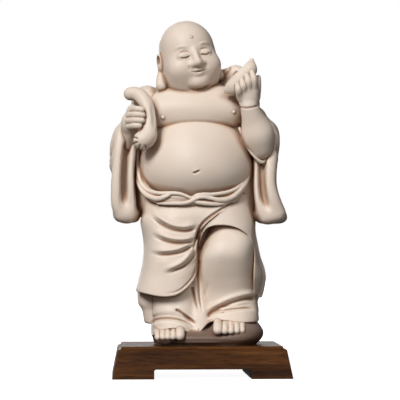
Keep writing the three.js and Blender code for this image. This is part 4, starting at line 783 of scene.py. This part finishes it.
def toes(*tips):
    """Toes at tips (u, v, y, radius), each a stub that runs up and back under the hem, with its nail."""
    stubs = []
    for u, v, y, r in tips:
        stub = tube(
            path((u, v + 7, y + 12, r * 0.95), (u, v + 4, y + 3.4, r), (u, v + 0.6, y, r * 0.97)), 3,
        )
        nail = ellipsoid(seen(u, v + 3.6, y - 0.5), (r * 0.6, 1.1, r * 0.62), (-38, 0, 0))
        stubs.append(blend(0.4, stub, nail))
    return blend(1.1, *stubs)


def feet():
    """The bare front halves of both feet."""
    left_toes = toes(
        (-42, -0.1, -43.5, 3), (-37, 0.1, -46, 3), (-31.9, 0.3, -47.4, 3.1),
        (-26.6, 0.5, -48.2, 3.2), (-19.8, 1.3, -48, 4.6),
    )
    right_toes = toes(
        (18, 7, -47.6, 4.6), (25, 6.2, -48.4, 3.5), (31, 6.2, -48, 3.3),
        (36.8, 6.4, -46.8, 3.2), (42.2, 6.8, -44.8, 3.1),
    )
    left = blend(3, ellipsoid(seen(-30, 1.6, -28), (15, 15, 8.5)), left_toes)
    right = blend(3, ellipsoid(seen(30, 8.6, -28), (16, 15, 9.5)), right_toes)
    return blend(0, left, right)


def rock():
    """The low rock that the feet stand on, higher under the right-hand foot."""
    low = loft(
        2.6, 4,
        (13.4, 0, 4, 45, 30), (5.4, 3, -3, 50, 41), (-1, 3, -4, 49.5, 43), (-5.6, 2, -3, 47, 40),
        (-12, 1, -2, 43, 36),
    )
    high = loft(
        2.4, 4,
        (18.4, 32, 0, 23.6, 34), (12, 33.5, -3, 27.2, 40), (6.4, 34.5, -4, 28.8, 42.5),
        (0.4, 33.5, -4, 28.2, 44), (-5.6, 30, -4, 26, 40), (-12, 28, -3, 22, 35),
    )
    return blend(4, low, high)


def back_panel():
    """The under-robe that shows below the robe at the back and the sides."""
    panel = loft(
        2.3, 3,
        (52.4, 0, 10, 63, 34), (44, -1, 10, 61.8, 33.5), (34.4, -2.2, 10, 59.8, 33),
        (27.4, -0.8, 9, 57.2, 32), (14.4, 0.2, 8, 55.8, 31),
    )
    return pressed(panel, *creases(
        "back",
        ([(-26, 57), (-24, 37), (-28, 21)], 7, 3.4, (0.1, 0), 1.6),
        ([(2, 57), (0, 37), (4, 21)], 7, 3.4, (0.1, 0), -1.6),
        ([(30, 57), (27, 37), (30, 21)], 7, 3.4, (0.1, 0), -1.6),
    ))


def head():
    """The head in its own frame: z up, y back, origin at its middle."""
    skull = blend(
        14, ellipsoid((0.6, 3, 9.8), (27.4, 30.5, 28.9)), ellipsoid((0, -3, -15.5), (28.4, 25, 24)),
    )
    cheeks = blend(0, *[ellipsoid((s * 14, -17.5, -10), (11.5, 10, 10)) for s in (-1, 1)])
    nose = blend(
        3,
        tube([(0, -26.6, 6, 2.2), (0, -29.4, 0, 2.8), (0, -31.6, -5.6, 3.6)]),
        ellipsoid((0, -31.8, -7.2), (4, 4, 3.5)),
        *[ellipsoid((s * 4.3, -28.8, -7.8), (2.9, 3.4, 2.5)) for s in (-1, 1)],
    )
    lids = blend(0, *[ellipsoid((s * 10.8, -24.4, 2), (6.2, 4.4, 4)) for s in (-1, 1)])
    upper = tube([
        (-7.2, -26.2, -14.7, 0.7), (-3.6, -28.2, -14.6, 1.3), (-1.2, -28.9, -14.1, 1.4),
        (0, -29, -14.4, 1.3), (1.2, -28.9, -14.1, 1.4), (3.6, -28.2, -14.6, 1.3),
        (7.2, -26.2, -14.7, 0.7),
    ])
    lower = tube([(-5.8, -26.4, -16.2, 0.8), (0, -28.2, -17.4, 1.8), (5.8, -26.4, -16.2, 0.8)])
    chin = ellipsoid((0, -23.6, -26), (8, 5.4, 5))
    dot = ellipsoid((0, -25.8, 19.4), (1.35, 1.1, 1.5))
    face = blend(4, blend(9, skull, cheeks), nose)
    face = blend(2.5, blend(6, face, chin), lids)
    face = blend(3, face, blend(0.8, upper, lower))
    face = blend(0.8, face, dot)
    lines = []
    for s in (-1, 1):
        lines += creases(
            "plain",
            ([(s * 5, 1.6), (s * 8, 0.1), (s * 12, -0.3), (s * 16.4, 1.4)], 1.3, 1, (0.2, 0.3), 0),
            ([(s * 4.6, 4.8), (s * 8, 6.2), (s * 12.2, 6.3), (s * 17, 4)], 1.8, 0.6, (0.3, 0.35), 0),
            ([(s * 4.4, 9), (s * 9, 11.6), (s * 14.5, 11.6), (s * 19, 8.6)], 2.6, -0.8, (0.35, 0.35), 0),
            ([(s * 7.4, -8.2), (s * 9.6, -11), (s * 10.6, -15)], 2.6, 0.45, (0.35, 0.5), 0),
        )
    lines += creases(
        "plain",
        ([(-8.2, -14.6), (-4, -15.4), (0, -15.6), (4, -15.4), (8.2, -14.6)], 1.2, 0.7, (0.15, 0.15), 0),
        ([(-15, -26.5), (-8.5, -30.4), (0, -31.8), (8.5, -30.4), (15, -26.5)], 2.8, 1.2, (0.35, 0.35), 0),
    )
    return blend(1, pressed(face, *lines), ear(-1, 0, 3.6), ear(1, 7, -1.6))


def ear(s, back, splay):
    """A long ear, on side s of the head, set back by so much, its lobe standing out by splay."""
    shell = ellipsoid((s * 27.5, 3 + back, 1), (4.4, 7.8, 10), (0, 0, s * 32))
    hollow = ellipsoid((s * 30.7, back, 2), (2.8, 4.2, 6.4), (0, 0, s * 32))
    lobe = tube([
        (s * (27.4 + splay * 0.2), 4 + back * 0.5, -3, 3.2),
        (s * (28 + splay * 0.4), 4 + back * 0.5, -8.5, 3.6),
        (s * (29.3 + splay * 0.6), 1.2 + back * 0.6, -14.5, 4.7),
        (s * (30.2 + splay * 0.8), back * 0.7 - 1.8, -21.4, 5.7),
    ], squash=(1.06, 1, 1))
    return blend(2, carve(1, shell, hollow), lobe)


def figure():
    """The whole figure as one form, cut flat at its underside. Each piece but the robe at the back and its
    shoulders has the box that holds it.
    """
    turned_head = placed(head(), seen(-11.4, 278.8, -6), (0, -11, 15))
    neck = cone(seen(-5, 233.4, 3), seen(-6, 255.4, 4), 27.5, 24.5)
    shoulder_right = ellipsoid(seen(40, 239.4, 6), (18, 22, 24), (0, -35, 0))
    shoulder_left = ellipsoid(seen(-53, 236, 4), (15.8, 21, 16.4))
    bare = blend(2, torso(), neck)
    raised_arm = blend(0.8, blend(2, forearm(), fist_right()), ingot())
    parts = [
        bounded(blend(1.4, bare, turned_head), (-80, -70, 122), (80, 70, 337)),
        blend(6, robe_back(), blend(5, shoulder_right, shoulder_left)),
        bounded(left_sleeve(), (-100, -45, 101), (-50, 45, 253)),
        bounded(right_sleeve(), (40, -45, 101), (100, 45, 253)),
        bounded(raised_arm, (20, -60, 162), (90, 10, 296)),
        bounded(blend(0.8, roll(), fist_left()), (-100, -60, 183), (-40, 10, 266)),
        bounded(sash(), (-75, -60, 122), (75, 20, 216)),
        bounded(skirt_panel(), (-75, -55, 31), (45, 45, 182)),
        bounded(wrap_right(), (-20, -55, 31), (80, 45, 182)),
        bounded(trousers(), (-58, -58, 0), (70, 45, 143)),
        bounded(back_panel(), (-75, -40, 13), (75, 60, 80)),
        bounded(blend(1, rock(), feet()), (-65, -60, -16), (70, 50, 46)),
    ]
    return within(0, blend(1, *parts), above(0))


# Meshing

VOXEL = 0.8
COARSE = 8
FINE = 4
GRID_LOW = np.array([-98.0, -62.0, -3.0])
GRID_HIGH = np.array([98.0, 60.0, 328.0])
HALF_DIAGONAL = 0.87
STEEPEST = 1.25
SPARE = 0.8
OUTSIDE = 10.0
SLOPE_STEP = 0.25
MOST_TRIANGLES = 190000
BATCH = 120000


def evaluated(field, points):
    """The form at an array of points, in batches that stay in the processor's cache."""
    out = np.empty(len(points))
    for i in range(0, len(points), BATCH):
        part = points[i:i + BATCH]
        out[i:i + BATCH] = field(part[:, 0].copy(), part[:, 1].copy(), part[:, 2].copy())
    return out


def cells(*counts):
    """The places of all cells in a block, which has so many along each side."""
    return np.stack(np.meshgrid(*(np.arange(n) for n in counts), indexing="ij"), -1).reshape(-1, 3)


def put(values, places, numbers):
    """Writes numbers at places of the grid."""
    values[places[:, 0], places[:, 1], places[:, 2]] = numbers


def sampled(field):
    """The form on a grid. Blocks far from its surface are filled with one value.

    A block is far if its middle is further away than its half diagonal, for a form up to STEEPEST
    times as steep as a true distance, and SPARE mm more.
    """
    blocks = np.ceil((GRID_HIGH - GRID_LOW) / (VOXEL * COARSE)).astype(int)
    values = np.empty(tuple(blocks * COARSE), np.float32)
    corners = cells(*blocks) * COARSE
    size = COARSE
    while True:
        d = evaluated(field, GRID_LOW + (corners + (size - 1) / 2) * VOXEL)
        far = np.abs(d) > size * VOXEL * HALF_DIAGONAL * STEEPEST + SPARE
        filled, numbers = corners[far], d[far]
        for offset in cells(size, size, size):
            put(values, filled + offset, numbers)
        corners = corners[~far]
        if size == FINE:
            break
        size //= 2
        corners = (corners[:, None] + cells(2, 2, 2)[None] * size).reshape(-1, 3)
    places = (corners[:, None] + cells(FINE, FINE, FINE)[None]).reshape(-1, 3)
    put(values, places, evaluated(field, GRID_LOW + places * VOXEL))
    return values


def gradient(field, points):
    """The form's slope at an array of points, as unit vectors."""
    slopes = []
    for offset in np.eye(3) * SLOPE_STEP:
        slopes.append(evaluated(field, points + offset) - evaluated(field, points - offset))
    slopes = np.stack(slopes, -1)
    return slopes / (np.linalg.norm(slopes, axis=-1, keepdims=True) + TINY)


def settled(field, points):
    """The points moved onto the form's surface."""
    normals = gradient(field, points)
    moves = np.clip(evaluated(field, points), -VOXEL, VOXEL)
    return points - normals * moves[:, None]


def show(name, data):
    """A new object in the scene, which holds this data."""
    thing = bpy.data.objects.new(name, data)
    bpy.context.scene.collection.objects.link(thing)
    return thing


def drawn(field):
    """The form's surface as a mesh in form coordinates, thinned where it is smooth."""
    grid = vdb.FloatGrid(background=OUTSIDE)
    grid.copyFromArray(sampled(field))
    points, _, quads = grid.convertToPolygons(0.0, 0.0)
    points = settled(field, GRID_LOW + np.array(points) * VOXEL)
    mesh = bpy.data.meshes.new("figure_fine")
    mesh.from_pydata(points.tolist(), [], np.array(quads).tolist())
    work = show("figure_fine", mesh)
    thin = work.modifiers.new("thin", "DECIMATE")
    thin.ratio = min(1.0, MOST_TRIANGLES / (len(mesh.polygons) * 2))
    thin.use_collapse_triangulate = True
    bpy.context.view_layer.update()
    thinned = bpy.data.meshes.new_from_object(
        work.evaluated_get(bpy.context.evaluated_depsgraph_get()),
    )
    bpy.data.objects.remove(work)
    bpy.data.meshes.remove(mesh)
    return thinned


def vertices_of(mesh):
    """The mesh's vertices as an array."""
    points = np.empty(len(mesh.vertices) * 3)
    mesh.vertices.foreach_get("co", points)
    return points.reshape(-1, 3)


# Painted shade: numbers on the vertices, which the porcelain reads to paint shade in folds and creases and
# a highlight on edges

OPEN_REACHES = ((2.0, 0.3), (5.0, 0.25), (11.0, 0.25), (24.0, 0.2))
BEND_STEP = 1.3
ODD_WAY = (0.13, 0.21, 0.97)
ROCK_EDGE = 1.6


def openness(field, points, normals):
    """1 where the surface lies open and 0 deep in a fold, from how near the form is further out."""
    total = np.zeros(len(points))
    for reach, share in OPEN_REACHES:
        total += share * np.clip(evaluated(field, points + normals * reach) / reach, 0, 1)
    return total


def bending(field, points, normals):
    """How the surface bends over a small step: above 0 in a crease and below 0 on an edge."""
    across = np.cross(normals, ODD_WAY)
    across /= np.linalg.norm(across, axis=-1, keepdims=True)
    along = np.cross(normals, across)
    bends = []
    for way in (across, along, (across + along) / math.sqrt(2), (across - along) / math.sqrt(2)):
        both = evaluated(field, points + way * BEND_STEP) + evaluated(field, points - way * BEND_STEP)
        bends.append(-both / BEND_STEP)
    bends = np.stack(bends)
    deepest = bends.max(0)
    sharpest = bends.min(0)
    return np.where(deepest > -sharpest, deepest, sharpest)


def rock_share(points):
    """1 on the rock and 0 on the feet and the cloth over it."""
    stone = evaluated(rock(), points)
    others = np.minimum(evaluated(feet(), points), evaluated(trousers(), points))
    return np.clip(0.5 + (others - stone) / ROCK_EDGE, 0, 1)


def add_figure():
    """The figure's mesh on the plinth, with its normals and its folds' shade."""
    field = figure()
    mesh = drawn(field)
    points = settled(field, vertices_of(mesh))
    normals = gradient(field, points)
    turn = turn_matrix((0, 0, FIGURE_TURN))
    placed_points = (points @ turn.T + FIGURE_PLACE) * MM
    mesh.vertices.foreach_set("co", placed_points.ravel())
    mesh.name = "porcelain_figure"
    for name, values in (
        ("openness", openness(field, points, normals)),
        ("bending", bending(field, points, normals)),
        ("rock", rock_share(points)),
    ):
        attribute = mesh.attributes.new(name, "FLOAT", "POINT")
        attribute.data.foreach_set("value", values.astype(np.float32))
    mesh.update()
    mesh.polygons.foreach_set("use_smooth", [True] * len(mesh.polygons))
    mesh.normals_split_custom_set_from_vertices((normals @ turn.T).tolist())
    piece = show("porcelain_figure", mesh)
    mesh.materials.append(porcelain())
    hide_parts("figure")
    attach(piece, "root")


# Materials

MIX_SHARE, MIX_FIRST, MIX_SECOND, MIX_RESULT = 0, 6, 7, 2


class Nodes:
    """The node tree of a material or the world, with short ways to add and join nodes."""

    def __init__(self, holder, shader="Principled BSDF"):
        self.holder = holder
        holder.use_nodes = True
        self.tree = holder.node_tree
        self.shader = self.tree.nodes[shader]

    def feed(self, node, inputs):
        """Joins or sets a node's inputs, each by its name or number."""
        for key, source in inputs.items():
            target = node.inputs[key]
            if hasattr(source, "links"):
                self.tree.links.new(source, target)
            else:
                target.default_value = (*source, 1) if target.type == "RGBA" else source

    def add(self, kind, inputs=None, **settings):
        """A new node with these inputs and settings."""
        node = self.tree.nodes.new("ShaderNode" + kind)
        for key, value in settings.items():
            setattr(node, key, value)
        self.feed(node, inputs or {})
        return node

    def number(self, name):
        """One of the vertices' numbers."""
        return self.add("Attribute", attribute_name=name).outputs["Fac"]

    def noise(self, vector, detail, scale=1.0, roughness=0.5, distortion=0.0):
        return self.add("TexNoise", {
            "Vector": vector, "Scale": scale, "Detail": detail,
            "Roughness": roughness, "Distortion": distortion,
        }).outputs["Fac"]

    def ramp(self, value, *stops):
        """A colour for the value, from rows of a value and its colour."""
        node = self.add("ValToRGB", {"Fac": value})
        elements = node.color_ramp.elements
        while len(elements) < len(stops):
            elements.new(0.5)
        for element, (place, colour) in zip(elements, stops):
            element.position = place
            element.color = (*colour, 1)
        return node.outputs["Color"]

    def span(self, value, from_low, from_high, to_low, to_high):
        """The value, moved from one span to another and kept inside it."""
        return self.add("MapRange", {
            "Value": value, "From Min": from_low, "From Max": from_high,
            "To Min": to_low, "To Max": to_high,
        }).outputs["Result"]

    def mix(self, share, first, second):
        """The first colour with a share of the second."""
        inputs = {MIX_SHARE: share, MIX_FIRST: first, MIX_SECOND: second}
        return self.add("Mix", inputs, data_type="RGBA").outputs[MIX_RESULT]

    def math(self, operation, a, b):
        return self.add("Math", {0: a, 1: b}, operation=operation).outputs[0]

    def scaled(self, vector, scale):
        return self.add("Mapping", {"Vector": vector, "Scale": scale}).outputs["Vector"]

    def bump(self, height, distance, strength, under=None):
        """A normal for relief of this distance in metres, on top of an earlier one."""
        inputs = {"Height": height, "Distance": distance, "Strength": strength}
        if under:
            inputs["Normal"] = under
        return self.add("Bump", inputs).outputs["Normal"]

    def by_ray(self, seen_shader, other_shader, end):
        """Ends the tree in one shader for what the camera sees itself and another for all else."""
        ray = self.add("LightPath").outputs["Is Camera Ray"]
        both = self.add("MixShader", {"Fac": ray, 1: other_shader, 2: seen_shader})
        self.feed(self.tree.nodes[end], {"Surface": both.outputs["Shader"]})


IVORY = (0.80, 0.695, 0.605)
IVORY_WARM = (0.775, 0.655, 0.555)
# Painted shade with a brown wash: mixed in where the surface lies deep in folds and recesses
FOLD_SHADE_AND_WASH_BROWN = (0.37, 0.20, 0.105)
FOLD_SHADE_SPAN = (0.74, 0.22, 0.0, 0.88)
# Painted shade with a brown wash in tight creases, where the surface bends inward
CREASE_SHADE_AND_WASH_BROWN = (0.27, 0.125, 0.055)
CREASE_SHADE_SPAN = (0.16, 0.75, 0.0, 0.8)
# Painted highlight: a paler cream on edges and ridges, where the surface bends outward
EDGE_HIGHLIGHT_CREAM = (0.87, 0.79, 0.70)
EDGE_HIGHLIGHT_SPAN = (-0.25, -0.8, 0.0, 0.5)
# Painted shade with a dark brown stain on the rock, stronger towards its bottom
ROCK_SHADE_AND_STAIN_BROWN = (0.075, 0.026, 0.011)
ROCK_SHADE_AND_STAIN_SPAN = (0.034, 0.052, 0.96, 0.72)
NOISE_SPAN = (0.3, 0.7)


def porcelain():
    """Unglazed ivory porcelain: matt, a little translucent, with painted shade and a brown wash down in its
    folds and creases, a painted highlight on its edges, and painted shade with a dark brown stain on the
    rock.
    """
    nodes = Nodes(bpy.data.materials.new("porcelain"))
    place = nodes.add("TexCoord").outputs["Object"]
    clouds = nodes.noise(place, scale=28.0, detail=4.0)
    waves = nodes.noise(place, scale=150.0, detail=2.0)
    grain = nodes.noise(place, scale=900.0, detail=2.0)
    # Painted shade with a brown wash in the folds, stronger the less open the surface lies
    depth = nodes.span(nodes.number("openness"), *FOLD_SHADE_SPAN)
    depth = nodes.math("MULTIPLY", depth, nodes.span(clouds, *NOISE_SPAN, 0.75, 1.0))
    colour = nodes.mix(depth, nodes.ramp(clouds, (0.35, IVORY_WARM), (0.65, IVORY)), FOLD_SHADE_AND_WASH_BROWN)
    # Painted shade under the feet and hem, with a dark brown stain: the rock turns near black towards the
    # bottom
    height = nodes.add("SeparateXYZ", {0: place}).outputs["Z"]
    rock_shade_and_stain = nodes.math("MULTIPLY", nodes.number("rock"), nodes.span(height, *ROCK_SHADE_AND_STAIN_SPAN))
    colour = nodes.mix(rock_shade_and_stain, colour, ROCK_SHADE_AND_STAIN_BROWN)
    bend = nodes.number("bending")
    # Painted shade with a brown wash where the surface bends into a crease
    colour = nodes.mix(nodes.span(bend, *CREASE_SHADE_SPAN), colour, CREASE_SHADE_AND_WASH_BROWN)
    # Painted highlight where the surface bends over an edge or ridge
    colour = nodes.mix(nodes.span(bend, *EDGE_HIGHLIGHT_SPAN), colour, EDGE_HIGHLIGHT_CREAM)
    nodes.feed(nodes.shader, {
        "Base Color": colour,
        "Roughness": nodes.span(grain, *NOISE_SPAN, 0.42, 0.52),
        "Subsurface Weight": 0.08,
        "Subsurface Radius": (1.0, 0.6, 0.35),
        "Subsurface Scale": 0.0012,
        "Specular IOR Level": 0.3,
        "Normal": nodes.bump(grain, 0.00004, 0.5, nodes.bump(waves, 0.0002, 0.35)),
    })
    return nodes.holder


WALNUT_DARK = (0.016, 0.0048, 0.0011)
WALNUT_MID = (0.078, 0.0265, 0.0055)
WALNUT_LIGHT = (0.155, 0.058, 0.0135)
FIBRE_SCALE = (5.0, 130.0, 130.0)
BAND_SCALE = (6.0, 28.0, 28.0)
PORE_SCALE = (60.0, 1500.0, 1500.0)
FIBRE_SHARE = 0.62
BAND_SHARE = 0.38


def walnut():
    """Dark oiled walnut, its grain along the plinth, with darker figure, fine pores and a satin skin."""
    nodes = Nodes(bpy.data.materials.new("walnut"))
    place = nodes.add("TexCoord").outputs["Object"]
    fibres = nodes.noise(
        nodes.scaled(place, FIBRE_SCALE), detail=6.0, roughness=0.62, distortion=0.4,
    )
    bands = nodes.noise(nodes.scaled(place, BAND_SCALE), detail=3.0, distortion=0.8)
    pores = nodes.noise(nodes.scaled(place, PORE_SCALE), detail=1.0)
    pore_depth = nodes.span(pores, 0.36, 0.44, 1.0, 0.0)
    shape = nodes.math(
        "ADD",
        nodes.math("MULTIPLY", fibres, FIBRE_SHARE),
        nodes.math("MULTIPLY", bands, BAND_SHARE),
    )
    colour = nodes.ramp(shape, (0.34, WALNUT_DARK), (0.5, WALNUT_MID), (0.68, WALNUT_LIGHT))
    colour = nodes.mix(nodes.math("MULTIPLY", pore_depth, 0.7), colour, WALNUT_DARK)
    relief = nodes.math("SUBTRACT", nodes.math("MULTIPLY", fibres, 0.4), pore_depth)
    nodes.feed(nodes.shader, {
        "Base Color": colour,
        "Roughness": nodes.span(fibres, *NOISE_SPAN, 0.52, 0.40),
        "Specular IOR Level": 0.1,
        "Normal": nodes.bump(relief, 0.00012, 0.6),
    })
    return nodes.holder


# Plinth, floor, light and camera

WELD_REACH = 0.00001
EDGE_WIDTH = 0.0006
EDGE_ANGLE = 30.0
FLOOR_HALF = 6.0
CAMERA_HEIGHT = 0.119
CAMERA_PITCH = 1.977
CAMERA_LENS = 144.3
CAMERA_SENSOR = 36.0


def finish_plinth():
    """Walnut and rounded edges for the plinth."""
    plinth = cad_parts["plinth"]
    slot = plinth.material_slots[0]
    slot.link = "OBJECT"
    slot.material = walnut()
    weld = plinth.modifiers.new("weld", "WELD")
    weld.merge_threshold = WELD_REACH
    rounding = plinth.modifiers.new("rounding", "BEVEL")
    rounding.width = EDGE_WIDTH
    rounding.segments = 3
    rounding.limit_method = "ANGLE"
    rounding.angle_limit = math.radians(EDGE_ANGLE)
    rounding.harden_normals = True


def add_floor():
    """A large floor under the plinth, white to the camera and dim to everything else."""
    mesh = bpy.data.meshes.new("floor")
    corners = [(x * FLOOR_HALF, y * FLOOR_HALF, 0) for x, y in ((-1, -1), (1, -1), (1, 1), (-1, 1))]
    mesh.from_pydata(corners, [], [(0, 1, 2, 3)])
    floor = show("floor", mesh)
    nodes = Nodes(bpy.data.materials.new("floor"))
    nodes.feed(nodes.shader, {
        "Base Color": (0.93, 0.93, 0.93),
        "Roughness": 0.9,
        "Specular IOR Level": 0.0,
        "Emission Color": (1, 1, 1),
        "Emission Strength": 0.95,
    })
    dim = nodes.add("BsdfDiffuse", {"Color": (0.1, 0.09, 0.08)})
    nodes.by_ray(nodes.shader.outputs["BSDF"], dim.outputs["BSDF"], "Material Output")
    mesh.materials.append(nodes.holder)
    floor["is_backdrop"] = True


def add_sun(name, toward, strength, spread, colour):
    """A soft distant lamp that shines from a direction, spread over an angle in degrees."""
    lamp = bpy.data.lights.new(name, "SUN")
    lamp.energy = strength
    lamp.angle = math.radians(spread)
    lamp.color = colour
    holder = show(name, lamp)
    holder.rotation_mode = "QUATERNION"
    holder.rotation_quaternion = Vector(toward).to_track_quat("Z", "Y")


def add_world():
    """A white surround that the camera sees in full and that lights the object only softly."""
    world = bpy.data.worlds.new("surround")
    bpy.context.scene.world = world
    nodes = Nodes(world, "Background")
    nodes.feed(nodes.shader, {"Color": (1.0, 0.97, 0.94), "Strength": 0.045})
    backdrop = nodes.add("Background", {"Color": (1, 1, 1), "Strength": 1.0})
    nodes.by_ray(backdrop.outputs[0], nodes.shader.outputs[0], "World Output")


def add_camera():
    """The photo's view: square on to the figure, from a little over the height of its knees."""
    lens = bpy.data.cameras.new("camera")
    lens.lens = CAMERA_LENS
    lens.sensor_width = CAMERA_SENSOR
    holder = show("camera", lens)
    turn = math.radians(FIGURE_TURN)
    distance = VIEW_DISTANCE * MM
    holder.location = (distance * math.sin(turn), -distance * math.cos(turn), CAMERA_HEIGHT)
    holder.rotation_euler = (math.radians(90.0 + CAMERA_PITCH), 0, turn)
    bpy.context.scene.camera = holder


add_figure()
finish_plinth()
add_floor()
add_sun("key", (-0.47, -0.8, 0.66), strength=2.8, spread=20, colour=(1.0, 0.985, 0.965))
add_sun("front", (0.25, -0.92, 0.35), strength=0.6, spread=50, colour=(1.0, 0.98, 0.96))
add_sun("back", (-0.15, 1.0, 0.12), strength=1.1, spread=50, colour=(1.0, 0.98, 0.96))
add_world()
add_camera()
bpy.context.scene.view_settings.view_transform = "Standard"

boxes = {"cad": CAD_BOX, "visual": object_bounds()}
{name: [list(corner) for corner in corners] for name, corners in boxes.items()}
